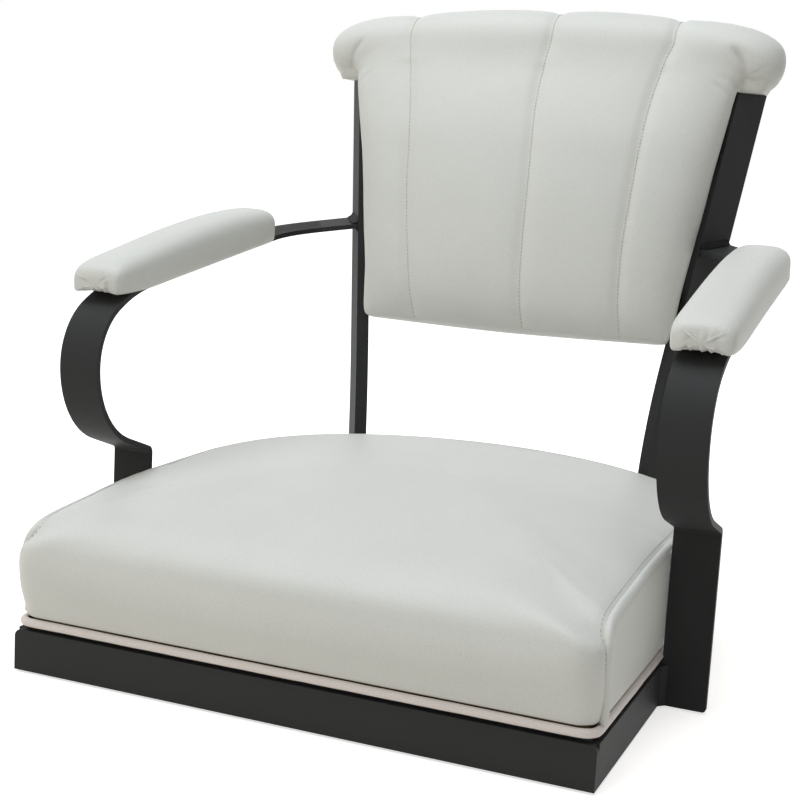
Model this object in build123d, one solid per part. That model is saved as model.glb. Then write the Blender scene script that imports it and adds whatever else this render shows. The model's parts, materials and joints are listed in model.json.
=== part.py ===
from build123d import *
import math
import os

os.makedirs("parts", exist_ok=True)

# Head of a tall stool: swivel, steel seat frame, two arms, upholstered seat and back.
# Sizes are in millimetres. The sitter faces -Y, +Z is up, and left and right are as seen from the front.
# The origin is on the swivel's axis, at the underside of its lower plate.

# Seat frame. The rear arc's radius is half the width and a surplus, and the corner arcs' centres
# lie at an offset from the middle.
seat_width = 486.0
seat_depth = 513.0
rear_arc_surplus = 31.0
corner_arc_offset = 38.0
rail_height = 34.0
rail_thickness = 6.0
rail_end_rounding = 6.0
skirt_lift = 2.0
swivel_setback = 268.0

# Stock bars
flat_bar_width = 38.1
upright_thickness = 12.7
ribbon_thickness = 4.8
weld_leg = 5.0

# Uprights, heights from the skirt's lower edge
upright_bend_start = 58.0
upright_bend_radius = 773.0
upright_lean = 13.26
upright_height = 507.0

# Arm ribbon, seen from the side
plate_setback = 197.4
plate_height = 146.3
plate_bend_radius = 3.0
plate_corner_rounding = 3.0
scroll_foot_run = 36.8
scroll_foot_angle = 19.4
scroll_lower_radius = 77.0
scroll_upper_radius = 60.0
scroll_crown_radius = 150.0
scroll_crown_angle = 30.0
arm_slope = 8.4
arm_turn_radius = 65.0

# Swivel
swivel_plate_margin = 25.0
swivel_plate_thickness = 4.0
swivel_plate_rounding = 14.0
mount_spacing = 140.0
mount_hole_radius = 4.25
ball_count = 24
ball_radius = 4.0
ball_circle_radius = 52.0
race_width = 12.0
race_thickness = 3.5
race_bite = 1.5
ball_seat_clearance = 0.06
ball_run_clearance = 0.15
cage_thickness = 1.2
cage_width = 9.6
pivot_radius = 8.0
pivot_head_radius = 12.0
pivot_run_clearance = 0.05
pivot_washer_radius = 14.0
pivot_washer_thickness = 2.0
pivot_washer_gap = 0.2
pivot_nut_height = 8.0
pivot_nut_radius = 13.0
strap_thickness = 6.0

# Screws and bolts
bolt_radius = 4.0
bolt_head_radius = 7.5
bolt_head_height = 5.3
bolt_nut_height = 6.5
bolt_tail = 1.5
screw_radius = 2.2
screw_head_radius = 4.5
screw_head_height = 2.6
screw_bite = 9.0
seat_tab_length = 34.0
seat_tab_reach = 26.0
seat_tab_thickness = 4.0
front_tab_share = 0.62
rear_tab_share = 0.30

# Seat upholstery
board_thickness = 12.0
cover_thickness = 0.8
cover_inset = 14.0
welt_radius = 3.5
welt_inset = 4.0
welt_clearance = 0.3
cushion_corner_radius = 16.0
seat_crown_height = 111.0
seat_crown_hub = 55.0
seat_front_belly = 10.0
seat_side_inset = 0.6
top_welt_turn_radius = 14.0
top_welt_front_share = 0.615
top_welt_rear_share = 0.70
top_welt_step = 7.2
# Each row: side and front insets as crown inset shares, share of the belly, front and rear heights as
# crown shares. The last value is 1 where the side steps in, below and inside the cord round the top.
seat_section_shares = (
    (0.020, 0.020, 0.0, 0.000, 0.000, 0),
    (0.000, 0.010, 0.6, 0.190, 0.190, 0),
    (0.000, 0.000, 1.0, 0.380, 0.380, 0),
    (0.000, 0.000, 0.9, 0.580, 0.665, 0),
    (0.000, 0.004, 0.9, 0.584, 0.669, 1),
    (0.000, 0.030, 0.5, 0.660, 0.745, 1),
    (0.170, 0.150, 0.0, 0.730, 0.820, 0),
    (0.470, 0.470, 0.0, 0.815, 0.920, 0),
    (0.850, 0.850, 0.0, 0.890, 0.980, 0),
    (1.250, 1.250, 0.0, 0.950, 1.020, 0),
)

# Back upholstery, measured along the lean from the lower edge of the cushion
back_bottom_height = 256.0
back_narrowing = 80.0
back_run = 246.0
back_thickness = 53.0
back_seam_depth = 6.0
back_board_thickness = 10.0
back_board_inset = 8.0
back_board_bottom_inset = 6.0
back_cover_thickness = 1.5
# Each row: share of the run, share of half the width, share of the thickness
back_section_shares = (
    (0.00, 0.775, 0.36),
    (0.04, 0.788, 0.62),
    (0.13, 0.803, 0.84),
    (0.33, 0.838, 0.98),
    (0.57, 0.880, 1.00),
    (0.80, 0.935, 0.88),
    (1.00, 0.990, 0.70),
    (1.14, 1.030, 0.62),
)
back_seam_shares = (-0.645, 0.06, 0.665)
back_edge_share = 0.46
roll_underside = 508.0
roll_setback = 10.6
roll_radius = 39.0
# Each row: share of half the roll's length, share of its radius
roll_section_shares = (
    (0.00, 1.00), (0.35, 0.975), (0.65, 0.91), (0.85, 0.84), (0.96, 0.75), (1.00, 0.60),
)

# Crossbars behind the back
crossbar_height = 25.4
crossbar_thickness = 12.7
crossbar_rise_shares = (0.18, 0.82)
back_screw_share = 0.62

# Arm pads
pad_width = 57.0
pad_outset = 4.6
pad_height = 35.0
pad_length = 298.0
pad_front_reach = 64.0
pad_rounding = 13.0
pad_rounding_share = 0.45
pad_lower_rounding_share = 0.4
pad_dome_share = 0.25
pad_slot_clearance = 0.3
arm_board_thickness = 8.0
arm_board_length = 208.0
arm_board_start = 14.0
arm_screw_bite_share = 0.75
arm_screw_shares = (0.12, 0.5, 0.88)
# Each row: share of the pad's length, share of its width, share of its height
pad_section_shares = (
    (0.000, 0.86, 0.10),
    (0.030, 0.93, 0.46),
    (0.085, 0.98, 0.68),
    (0.180, 1.00, 0.83),
    (0.350, 1.00, 0.95),
    (0.620, 1.00, 1.00),
    (0.880, 0.99, 0.91),
    (0.970, 0.95, 0.74),
    (1.000, 0.86, 0.42),
)

# Values worked out from the sizes above
overrun = seat_width
half_width = seat_width / 2
rear_arc_radius = half_width + rear_arc_surplus
corner_arc_radius = half_width - corner_arc_offset
seat_crown_inset = corner_arc_radius - seat_crown_hub
back_width = seat_width - back_narrowing
roll_length = seat_width
swivel_plate_side = mount_spacing + swivel_plate_margin
front_y = -swivel_setback
rear_y = front_y + seat_depth
rear_arc_y = rear_y - rear_arc_radius
corner_arc_x = corner_arc_offset
tangent_angle = math.asin(corner_arc_x / (rear_arc_radius - corner_arc_radius))
corner_arc_y = rear_arc_y + (rear_arc_radius - corner_arc_radius) * math.cos(tangent_angle)
radial_x = math.sin(tangent_angle)
radial_y = math.cos(tangent_angle)
foot_x = rear_arc_radius * radial_x
foot_y = rear_arc_y + rear_arc_radius * radial_y
skirt_top = skirt_lift + rail_height
board_top = skirt_top + board_thickness
board_inset = welt_inset + welt_radius
board_corner_radius = cushion_corner_radius - welt_radius
lean_tangent = math.tan(math.radians(upright_lean))
race_top = swivel_plate_thickness + race_thickness
ball_level = race_top - race_bite + ball_radius
upper_race_level = ball_level + ball_radius - race_bite
upper_plate_level = upper_race_level + race_thickness
strap_level = upper_plate_level + swivel_plate_thickness
strap_top = strap_level + strap_thickness
half_turn = 180.0
quarter_turn = 90.0
square_corners = ((-1, -1), (1, -1), (1, 1), (-1, 1))


def save(shape, node):
    export_step(shape, "parts/" + node + ".step")


def group(solids):
    """Several separate solids as one shape."""
    return Compound(children=list(solids))


def cylinder(radius, x, y, low, high):
    """Upright round bar from one height to another."""
    base = Plane(origin=(x, y, low), z_dir=(0, 0, 1))
    return Solid.extrude(Face(Wire.make_circle(radius, base)), Vector(0, 0, high - low))


def block(x_low, x_high, y_low, y_high, z_low, z_high):
    """Box between two corners."""
    corners = [(x_low, y_low), (x_high, y_low), (x_high, y_high), (x_low, y_high)]
    base = Wire.make_polygon([(x, y, z_low) for x, y in corners])
    return Solid.extrude(Face(base), Vector(0, 0, z_high - z_low))


def d_wire(side_inset, front_inset, corner_radius, front_level, rear_level):
    """The seat's D outline, drawn in from the frame's outer face, on a level or sloping plane."""
    side_x = half_width - side_inset
    y_front = front_y + front_inset
    corner_radius_in = corner_arc_radius - side_inset
    rear_radius_in = rear_arc_radius - side_inset
    tangent_x = corner_arc_x + corner_radius_in * radial_x
    tangent_y = corner_arc_y + corner_radius_in * radial_y
    half_angle = (math.pi / 2 - tangent_angle) / 2
    middle_x = corner_arc_x + corner_radius_in * math.cos(half_angle)
    middle_y = corner_arc_y + corner_radius_in * math.sin(half_angle)
    round_share = 1 - math.sqrt(0.5)
    slope = (rear_level - front_level) / seat_depth

    def at(x, y):
        return Vector(x, y, front_level + slope * (y - front_y))

    def line(start, end):
        return Edge.make_line(at(*start), at(*end))

    def arc(start, middle, end):
        return Edge.make_three_point_arc(at(*start), at(*middle), at(*end))

    near_x = side_x - corner_radius
    near_y = y_front + corner_radius
    round_x = side_x - corner_radius * round_share
    round_y = y_front + corner_radius * round_share
    edges = [
        line((-near_x, y_front), (near_x, y_front)),
        arc((near_x, y_front), (round_x, round_y), (side_x, near_y)),
        line((side_x, near_y), (side_x, corner_arc_y)),
        arc((side_x, corner_arc_y), (middle_x, middle_y), (tangent_x, tangent_y)),
        arc((tangent_x, tangent_y), (0, rear_arc_y + rear_radius_in), (-tangent_x, tangent_y)),
        arc((-tangent_x, tangent_y), (-middle_x, middle_y), (-side_x, corner_arc_y)),
        line((-side_x, corner_arc_y), (-side_x, near_y)),
        arc((-side_x, near_y), (-round_x, round_y), (-near_x, y_front)),
    ]
    return Wire(edges)


def d_solid(inset, corner_radius, low, high):
    """Upright D-shaped block."""
    return Solid.extrude(Face(d_wire(inset, inset, corner_radius, low, low)), Vector(0, 0, high - low))


def both_sides(build, name):
    """Save the right-hand piece and its mirror image."""
    right = build()
    save(right, name + "_right")
    save(mirror(right, about=Plane.YZ), name + "_left")


# Seat frame

def front_rail():
    """Straight bar across the front, with its outer ends rounded at the top."""
    low = skirt_lift
    bar = block(-half_width, half_width, front_y, front_y + rail_thickness, low, skirt_top)
    top_ends = bar.edges().filter_by(Axis.Y).group_by(Axis.Z)[-1]
    return bar.fillet(rail_end_rounding, top_ends)


def seat_hoop():
    """One flat bar bent round the sides and rear, behind the front rail."""
    outer = d_solid(0, rail_thickness, skirt_lift, skirt_top)
    inner = d_solid(rail_thickness, rail_thickness, skirt_lift, skirt_top)
    front = block(-half_width, half_width, front_y, front_y + rail_thickness, skirt_lift, skirt_top)
    return outer - inner - front


def inside_frame(shape):
    """What of a shape lies inside the rails."""
    return (shape & d_solid(rail_thickness, rail_thickness, 0, board_top)).solid()


def swivel_strap(side):
    """Flat bar across the frame, drilled for the swivel's upper plate."""
    middle = side * mount_spacing / 2
    half_bar = flat_bar_width / 2
    bar = block(-half_width, half_width, middle - half_bar, middle + half_bar, strap_level, strap_top)
    bar = inside_frame(bar)
    for x_side in (-1, 1):
        bar = bar - cylinder(bolt_radius, x_side * mount_spacing / 2, middle, 0, skirt_top)
    return bar


def seat_tab_places():
    """Middle of each tab under the seat board."""
    front_tab_y = front_y + rail_thickness + seat_tab_reach / 2
    rear_tab_y = rear_y - rail_thickness - seat_tab_reach
    front_tab_x = half_width * front_tab_share
    rear_tab_x = half_width * rear_tab_share
    front_tabs = [(-front_tab_x, front_tab_y), (front_tab_x, front_tab_y)]
    return front_tabs + [(-rear_tab_x, rear_tab_y), (rear_tab_x, rear_tab_y)]


def seat_tabs():
    tabs = []
    for x, y in seat_tab_places():
        y_low = y - seat_tab_reach / 2
        y_high = y + seat_tab_reach / 2 if y < 0 else rear_y
        half_length = seat_tab_length / 2
        low = skirt_top - seat_tab_thickness
        tab = block(x - half_length, x + half_length, y_low, y_high, low, skirt_top)
        tab = inside_frame(tab)
        tabs.append(tab - cylinder(screw_radius, x, y, 0, board_top))
    return group(tabs)


def screw(x, y, seat_level, end_level):
    """Pan-head screw, head down, with its head against the seat level."""
    head = cylinder(screw_head_radius, x, y, seat_level - screw_head_height, seat_level)
    return head + cylinder(screw_radius, x, y, seat_level, end_level)


def seat_screws():
    under_tab = skirt_top - seat_tab_thickness
    return group([screw(x, y, under_tab, skirt_top + screw_bite) for x, y in seat_tab_places()])


# Swivel

def swivel_plate(low):
    """Square plate with rounded corners and four holes."""
    half_side = swivel_plate_side / 2
    plate = block(-half_side, half_side, -half_side, half_side, low, low + swivel_plate_thickness)
    plate = plate.fillet(swivel_plate_rounding, plate.edges().filter_by(Axis.Z))
    return plate


def mount_places():
    return [(sx * mount_spacing / 2, sy * mount_spacing / 2) for sx, sy in square_corners]


def swivel_lower_plate():
    plate = swivel_plate(0)
    for x, y in mount_places():
        plate = plate - cylinder(mount_hole_radius, x, y, 0, swivel_plate_thickness)
    return plate - pivot_head()


def swivel_upper_plate():
    plate = swivel_plate(upper_plate_level)
    for x, y in mount_places():
        plate = plate - cylinder(bolt_radius, x, y, upper_plate_level, strap_level)
    return plate - cylinder(pivot_radius + pivot_run_clearance, 0, 0, upper_plate_level, strap_level)


def race(low, groove_clearance):
    """Flat ring with a ball groove."""
    outer = cylinder(ball_circle_radius + race_width / 2, 0, 0, low, low + race_thickness)
    ring = outer - cylinder(ball_circle_radius - race_width / 2, 0, 0, low, low + race_thickness)
    middle = Plane(origin=(0, 0, ball_level))
    groove = Solid.make_torus(ball_circle_radius, ball_radius + groove_clearance, middle)
    return ring - groove


def ball_places():
    places = []
    for i in range(ball_count):
        angle = 2 * math.pi * i / ball_count
        places.append((ball_circle_radius * math.cos(angle), ball_circle_radius * math.sin(angle)))
    return places


def swivel_balls():
    balls = []
    for x, y in ball_places():
        middle = Plane(origin=(x, y, ball_level))
        balls.append(Solid.make_sphere(ball_radius, middle, -quarter_turn, quarter_turn))
    return group(balls)


def ball_cage():
    low = ball_level - cage_thickness / 2
    ring = cylinder(ball_circle_radius + cage_width / 2, 0, 0, low, low + cage_thickness)
    ring = ring - cylinder(ball_circle_radius - cage_width / 2, 0, 0, low, low + cage_thickness)
    for x, y in ball_places():
        ring = ring - cylinder(ball_radius + ball_run_clearance, x, y, low, low + cage_thickness)
    return ring


def pivot_head():
    """Countersunk head, flush with the underside of the lower plate."""
    return Solid.make_cone(pivot_head_radius, pivot_radius, swivel_plate_thickness)


def pivot_washer_level():
    return strap_level + pivot_washer_gap


def pivot_nut_level():
    return pivot_washer_level() + pivot_washer_thickness


def pivot_bolt():
    top = pivot_nut_level() + pivot_nut_height
    return pivot_head() + cylinder(pivot_radius, 0, 0, swivel_plate_thickness, top)


def pivot_washer():
    low = pivot_washer_level()
    disc = cylinder(pivot_washer_radius, 0, 0, low, pivot_nut_level())
    return disc - cylinder(pivot_radius, 0, 0, low, pivot_nut_level())


def hexagon(radius, x, y, low, high):
    """Upright hexagonal prism, radius to its corners."""
    corners = []
    for i in range(6):
        angle = i * math.pi / 3
        corners.append((x + radius * math.cos(angle), y + radius * math.sin(angle), low))
    return Solid.extrude(Face(Wire.make_polygon(corners)), Vector(0, 0, high - low))


def pivot_nut():
    low = pivot_nut_level()
    high = low + pivot_nut_height
    return hexagon(pivot_nut_radius, 0, 0, low, high) - cylinder(pivot_radius, 0, 0, low, high)


def swivel_bolts():
    bolts = []
    for x, y in mount_places():
        head = hexagon(bolt_head_radius, x, y, upper_plate_level - bolt_head_height, upper_plate_level)
        shank = cylinder(bolt_radius, x, y, upper_plate_level, strap_top + bolt_nut_height + bolt_tail)
        bolts.append(head + shank)
    return group(bolts)


def swivel_nuts():
    nuts = []
    for x, y in mount_places():
        high = strap_top + bolt_nut_height
        nut = hexagon(bolt_head_radius, x, y, strap_top, high)
        nuts.append(nut - cylinder(bolt_radius, x, y, strap_top, high))
    return group(nuts)


# Uprights

def front_edge_offset(height, shift):
    """How far an upright's edge has leaned outward at a height above the skirt's lower edge."""
    radius = upright_bend_radius - shift
    bend_end = upright_bend_start + radius * math.sin(math.radians(upright_lean))
    bend_offset = radius * (1 - math.cos(math.radians(upright_lean)))
    if height < upright_bend_start:
        return shift
    if height < bend_end:
        rise = height - upright_bend_start
        return shift + radius - math.sqrt(radius ** 2 - rise ** 2)
    return shift + bend_offset + (height - bend_end) * lean_tangent


def back_upright():
    """Flat bar on edge, bent once in its own plane, which points out from the rear arc's centre."""
    lean = math.radians(upright_lean)

    def at(offset, height):
        x = foot_x + offset * radial_x
        y = foot_y + offset * radial_y
        return Vector(x, y, skirt_lift + height)

    def bend_point(shift, angle):
        radius = upright_bend_radius - shift
        return at(shift + radius * (1 - math.cos(angle)), upright_bend_start + radius * math.sin(angle))

    near = 0
    far = flat_bar_width
    near_top = at(front_edge_offset(upright_height, near), upright_height)
    far_top = at(front_edge_offset(upright_height, far), upright_height)
    near_start = at(near, upright_bend_start)
    far_start = at(far, upright_bend_start)
    edges = [
        Edge.make_line(at(near, 0), near_start),
        Edge.make_three_point_arc(near_start, bend_point(near, lean / 2), bend_point(near, lean)),
        Edge.make_line(bend_point(near, lean), near_top),
        Edge.make_line(near_top, far_top),
        Edge.make_line(far_top, bend_point(far, lean)),
        Edge.make_three_point_arc(bend_point(far, lean), bend_point(far, lean / 2), far_start),
        Edge.make_line(far_start, at(far, 0)),
        Edge.make_line(at(far, 0), at(near, 0)),
    ]
    across = Vector(radial_y, -radial_x, 0)
    face = Face(Wire(edges))
    bar = Solid.extrude(face, across * upright_thickness)
    return bar.translate(across * (-upright_thickness / 2))


# Arms

class Band:
    """Outline of a bent strip of constant thickness, drawn move by move, its left side first."""

    def __init__(self, y, z, heading, thickness):
        self.left = Vector(0, y, z)
        self.heading = math.radians(heading)
        self.thickness = thickness
        self.left_edges = []
        self.right_edges = []

    def across(self):
        return Vector(0, math.sin(self.heading), -math.cos(self.heading)) * self.thickness

    def right(self):
        return self.left + self.across()

    def line(self, length):
        step = Vector(0, math.cos(self.heading), math.sin(self.heading)) * length
        end = self.left + step
        self.left_edges.append(Edge.make_line(self.left, end))
        self.right_edges.append(Edge.make_line(self.right(), self.right() + step))
        self.left = end

    def bend(self, left_radius, turn):
        """Turn by an angle, positive to the left, with the left side's own radius."""
        side = 1 if turn > 0 else -1
        toward_centre = Vector(0, -math.sin(self.heading), math.cos(self.heading)) * side
        centre = self.left + toward_centre * left_radius
        old_left = self.left
        old_right = self.right()
        old_heading = self.heading

        def on_arc(start, share):
            angle = math.radians(turn) * share
            arm = start - centre
            y = arm.Y * math.cos(angle) - arm.Z * math.sin(angle)
            z = arm.Y * math.sin(angle) + arm.Z * math.cos(angle)
            return centre + Vector(0, y, z)

        def arc(start):
            return Edge.make_three_point_arc(start, on_arc(start, 0.5), on_arc(start, 1))

        self.left_edges.append(arc(old_left))
        self.right_edges.append(arc(old_right))
        self.left = on_arc(old_left, 1)
        self.heading = old_heading + math.radians(turn)

    def face(self, start_left, start_right):
        end_cap = Edge.make_line(self.left, self.right())
        start_cap = Edge.make_line(start_right, start_left)
        return Face(Wire(self.left_edges + [end_cap] + self.right_edges + [start_cap]))


def place_arm(shape):
    """Move a shape from the arm's own frame, whose origin is the foot of the plate's front inner edge."""
    return shape.translate(Vector(half_width, plate_y, skirt_lift))


def scroll_band():
    """The plate and the C scroll, up to where the straight run under the pad begins."""
    band = Band(0, 0, quarter_turn, ribbon_thickness)
    start_left = band.left
    start_right = band.right()
    foot_turn = quarter_turn - scroll_foot_angle
    band.line(plate_height)
    band.bend(plate_bend_radius, foot_turn)
    band.line(scroll_foot_run)
    band.bend(scroll_lower_radius, -foot_turn)
    band.bend(scroll_upper_radius, scroll_crown_angle - quarter_turn)
    band.bend(scroll_crown_radius, arm_slope - scroll_crown_angle)
    return band, start_left, start_right


plate_y = front_y + plate_setback
run_start = scroll_band()[0].left
slope_angle = math.radians(arm_slope)
slope_tangent = math.tan(slope_angle)
ribbon_rise = ribbon_thickness / math.cos(slope_angle)
turn_angle = math.pi / 2 - tangent_angle


def arm_top_level(y):
    """Height of the ribbon's upper face along the straight run, in the arm's own frame."""
    return run_start.Z + (y - run_start.Y) * slope_tangent


def solve_arm_run():
    """Lengths of the straight run, and of the last straight piece, that bring the ribbon to the upright."""
    run = half_width
    tail = 0
    for _ in range(12):
        path = run + turn_angle * arm_turn_radius + tail
        offset = front_edge_offset(arm_top_level(run_start.Y + path), 0)
        gap_x = foot_x + offset * radial_x + radial_y * upright_thickness / 2
        gap_x = gap_x - half_width + arm_turn_radius * (1 - radial_x)
        gap_y = foot_y + offset * radial_y - radial_x * upright_thickness / 2
        gap_y = gap_y - plate_y - run_start.Y - run - arm_turn_radius * radial_y
        tail = gap_y * radial_x - gap_x * radial_y
        run = run + (gap_x * radial_x + gap_y * radial_y) / radial_y
    return run, tail


run_length, tail_length = solve_arm_run()
run_end_y = run_start.Y + run_length


def ribbon_section(turned, advance):
    """Upright cut across the ribbon after a turn in plan and a straight advance, in the arm's own frame."""
    corners = []
    for radius in (arm_turn_radius, arm_turn_radius + flat_bar_width):
        x = radius * math.cos(turned) - arm_turn_radius - advance * math.sin(turned)
        y = run_end_y + radius * math.sin(turned) + advance * math.cos(turned)
        level = arm_top_level(run_end_y) + slope_tangent * (radius * turned + advance)
        corners.append(Vector(x, y, level))
    inner, outer = corners
    drop = Vector(0, 0, -ribbon_rise)
    return Wire.make_polygon([inner + drop, outer + drop, outer, inner])


def arm_ribbon():
    """Plate, C scroll, run under the pad, and the turn in to the upright, one bent flat bar."""
    band, start_left, start_right = scroll_band()
    band.line((run_length + ribbon_thickness) / math.cos(slope_angle))
    ribbon = Solid.extrude(band.face(start_left, start_right), Vector(flat_bar_width, 0, 0))
    ribbon = ribbon - block(-overrun, overrun, run_end_y, overrun, 0, overrun)
    corner = ribbon.edges().filter_by(Axis.Y).group_by(Axis.Z)[0].sort_by(Axis.X)[-1]
    ribbon = ribbon.fillet(plate_corner_rounding, [corner])
    steps = 4
    sections = [ribbon_section(turn_angle * i / steps, 0) for i in range(steps + 1)]
    curve = Solid.make_loft(sections, False)
    tail = Solid.make_loft([sections[-1], ribbon_section(turn_angle, tail_length)], True)
    bead = Wire.make_polygon([(0, 0, 0), (weld_leg, 0, 0), (0, -weld_leg, 0)])
    bead = Solid.extrude(Face(bead), Vector(0, 0, rail_height))
    ribbon = place_arm((ribbon + curve + tail + bead).solid())
    for x, y, z in arm_screw_places():
        ribbon = ribbon - cylinder(screw_radius, x, y, z - ribbon_rise, z + ribbon_rise + ribbon_rise)
    return ribbon


def arm_slab(x_low, x_high, y_low, y_high, rise_low, rise_high):
    """Block that follows the slope of the run, its heights from the ribbon's upper face."""
    corners = []
    for y, rise in ((y_low, rise_low), (y_high, rise_low), (y_high, rise_high), (y_low, rise_high)):
        corners.append((x_low, y, arm_top_level(y) + rise))
    slab = Solid.extrude(Face(Wire.make_polygon(corners)), Vector(x_high - x_low, 0, 0))
    return place_arm(slab)


pad_start_y = -pad_front_reach
arm_screw_reach = ribbon_rise + arm_board_thickness * arm_screw_bite_share
board_low_y = run_start.Y + arm_board_start
board_high_y = board_low_y + arm_board_length


def arm_board():
    board = arm_slab(0, flat_bar_width, board_low_y, board_high_y, 0, arm_board_thickness)
    for x, y, z in arm_screw_places():
        board = board - cylinder(screw_radius, x, y, z, z + arm_screw_reach)
    return board


def arm_screw_places():
    """Points on the ribbon's underside, one for each screw."""
    places = []
    for share in arm_screw_shares:
        y = board_low_y + share * arm_board_length
        under = arm_top_level(y) - ribbon_rise
        places.append((half_width + flat_bar_width / 2, plate_y + y, skirt_lift + under))
    return places


def arm_screw_set():
    """Upright screws through the ribbon, their heads just touching its sloping underside."""
    dip = screw_head_radius * slope_tangent
    return [screw(x, y, z - dip, z + arm_screw_reach) for x, y, z in arm_screw_places()]


def pad_section(length_share, width_share, height_share):
    """Rounded outline across the pad, level at the sides and domed on top."""
    y = pad_start_y + length_share * pad_length
    half = pad_width * width_share / 2
    middle = flat_bar_width / 2 + pad_outset
    low = arm_top_level(y) - ribbon_thickness
    high = low + ribbon_thickness + pad_height * height_share
    rounding = min(pad_rounding, (high - low) * pad_rounding_share)
    lower_rounding = rounding * pad_lower_rounding_share
    soft_share = 1 - math.sqrt(0.5)
    dome = rounding * pad_dome_share

    def at(x, z):
        return Vector(middle + x, y, z)

    def corner(x_side, z_side, radius, level):
        x = half - radius * soft_share
        z = level - z_side * radius * soft_share
        return at(x_side * x, z)

    side_high = high - rounding
    side_low = low + lower_rounding
    low_half = half - lower_rounding
    top_half = half - rounding
    lower_left = at(-low_half, low)
    edges = [
        Edge.make_line(lower_left, at(low_half, low)),
        Edge.make_three_point_arc(at(low_half, low), corner(1, -1, lower_rounding, low), at(half, side_low)),
        Edge.make_line(at(half, side_low), at(half, side_high)),
        Edge.make_three_point_arc(at(half, side_high), corner(1, 1, rounding, high), at(top_half, high)),
        Edge.make_three_point_arc(at(top_half, high), at(0, high + dome), at(-top_half, high)),
        Edge.make_three_point_arc(at(-top_half, high), corner(-1, 1, rounding, high), at(-half, side_high)),
        Edge.make_line(at(-half, side_high), at(-half, side_low)),
        Edge.make_three_point_arc(at(-half, side_low), corner(-1, -1, lower_rounding, low), lower_left),
    ]
    return Wire(edges)


def arm_pad():
    """Pad, open underneath for the ribbon and the board that it wraps."""
    form = Solid.make_loft([pad_section(*row) for row in pad_section_shares], False)
    form = place_arm(form)
    edge = -pad_slot_clearance
    wide = flat_bar_width + pad_slot_clearance
    channel = arm_slab(edge, wide, pad_start_y - overrun, run_end_y + overrun, -pad_height, 0)
    recess = arm_slab(edge, wide, board_low_y, board_high_y, 0, arm_board_thickness)
    return (form - channel - recess).solid()


# Back

lean_slope = lean_tangent * radial_y
lean_angle = math.atan(lean_slope)
lean_cosine = math.cos(lean_angle)


def back_plane_y(level):
    """Y of the plane through the uprights' foremost edges, at a height in the part's frame."""
    offset = front_edge_offset(level - skirt_lift, 0)
    return foot_y + offset * radial_y - radial_x * upright_thickness / 2


back_origin_level = skirt_lift + back_bottom_height
back_origin_y = back_plane_y(back_origin_level)


def back_point(x, run, forward):
    """Place of a point given along the back's lean and forward from the uprights."""
    y = back_origin_y + run * math.sin(lean_angle) - forward * lean_cosine
    z = back_origin_level + run * lean_cosine + forward * math.sin(lean_angle)
    return Vector(x, y, z)


def back_slab(half_low, half_high, run_low, run_high, forward_low, forward_high):
    """Flat board that follows the lean, its width growing upward."""
    corners = [(-half_low, run_low), (half_low, run_low), (half_high, run_high), (-half_high, run_high)]
    wire = Wire.make_polygon([back_point(x, run, forward_low) for x, run in corners])
    depth = forward_high - forward_low
    direction = Vector(0, -lean_cosine, math.sin(lean_angle)) * depth
    return Solid.extrude(Face(wire), direction)


board_front = back_cover_thickness + back_board_thickness
back_half = back_width / 2
board_half_low = back_half * back_section_shares[0][1] - back_board_inset
board_half_high = back_half - back_board_inset
board_run_high = back_run * back_section_shares[-1][0]


def back_section(run_share, width_share, depth_share):
    """Level cut through the back cushion: flat behind, four channels in front."""
    run = run_share * back_run
    half = width_share * back_half
    depth = back_thickness * depth_share
    edge_depth = board_front + (depth - board_front) * back_edge_share
    valley = depth - back_seam_depth * depth_share
    seams = [half * share for share in back_seam_shares]
    stops = [-half] + seams + [half]
    depths = [edge_depth, valley, valley, valley, edge_depth]
    edges = [Edge.make_line(back_point(half, run, board_front), back_point(-half, run, board_front))]
    edges.append(Edge.make_line(back_point(-half, run, board_front), back_point(-half, run, edge_depth)))
    for i in range(4):
        start = back_point(stops[i], run, depths[i])
        end = back_point(stops[i + 1], run, depths[i + 1])
        middle = back_point((stops[i] + stops[i + 1]) / 2, run, depth)
        edges.append(Edge.make_three_point_arc(start, middle, end))
    edges.append(Edge.make_line(back_point(half, run, edge_depth), back_point(half, run, board_front)))
    return Wire(edges)


def roll_section(length_share, radius_share):
    """Round cut across the roll, made of four quarter arcs, all cuts resting on one level."""
    radius = roll_radius * radius_share
    x = roll_length / 2 * length_share
    y = back_plane_y(skirt_lift + roll_underside + roll_radius) + roll_setback
    z = skirt_lift + roll_underside + radius
    places = []
    for i in range(8):
        angle = i * math.pi / 4
        places.append(Vector(x, y + radius * math.cos(angle), z + radius * math.sin(angle)))
    edges = []
    for i in range(0, 8, 2):
        edges.append(Edge.make_three_point_arc(places[i], places[i + 1], places[(i + 2) % 8]))
    return Wire(edges)


def roll_form():
    right = [roll_section(*row) for row in roll_section_shares]
    left = [roll_section(-share, radius) for share, radius in reversed(roll_section_shares[1:])]
    return Solid.make_loft(left + right, False)


def back_board():
    low = back_board_bottom_inset
    halves = (board_half_low, board_half_high)
    board = back_slab(*halves, low, board_run_high, back_cover_thickness, board_front)
    for x, run in back_screw_places():
        board = board - back_rod(screw_radius, x, run, 0, board_front)
    return board


def back_rear_cover():
    low = back_board_bottom_inset
    cover = back_slab(board_half_low, board_half_high, low, board_run_high, 0, back_cover_thickness)
    for x, run in back_screw_places():
        cover = cover - back_rod(screw_radius, x, run, 0, board_front)
    return cover


def back_cushion():
    """Channelled front pad, from its tucked lower edge up to the roll."""
    form = Solid.make_loft([back_section(*row) for row in back_section_shares], False)
    return (form - roll_form()).solids().sort_by(SortBy.VOLUME)[-1]


def back_roll():
    """Roll over the top of the back, slotted for the board."""
    slot_low = back_slab(board_half_low, board_half_high, 0, board_run_high, 0, board_front)
    return (roll_form() - slot_low).solids().sort_by(SortBy.VOLUME)[-1]


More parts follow.
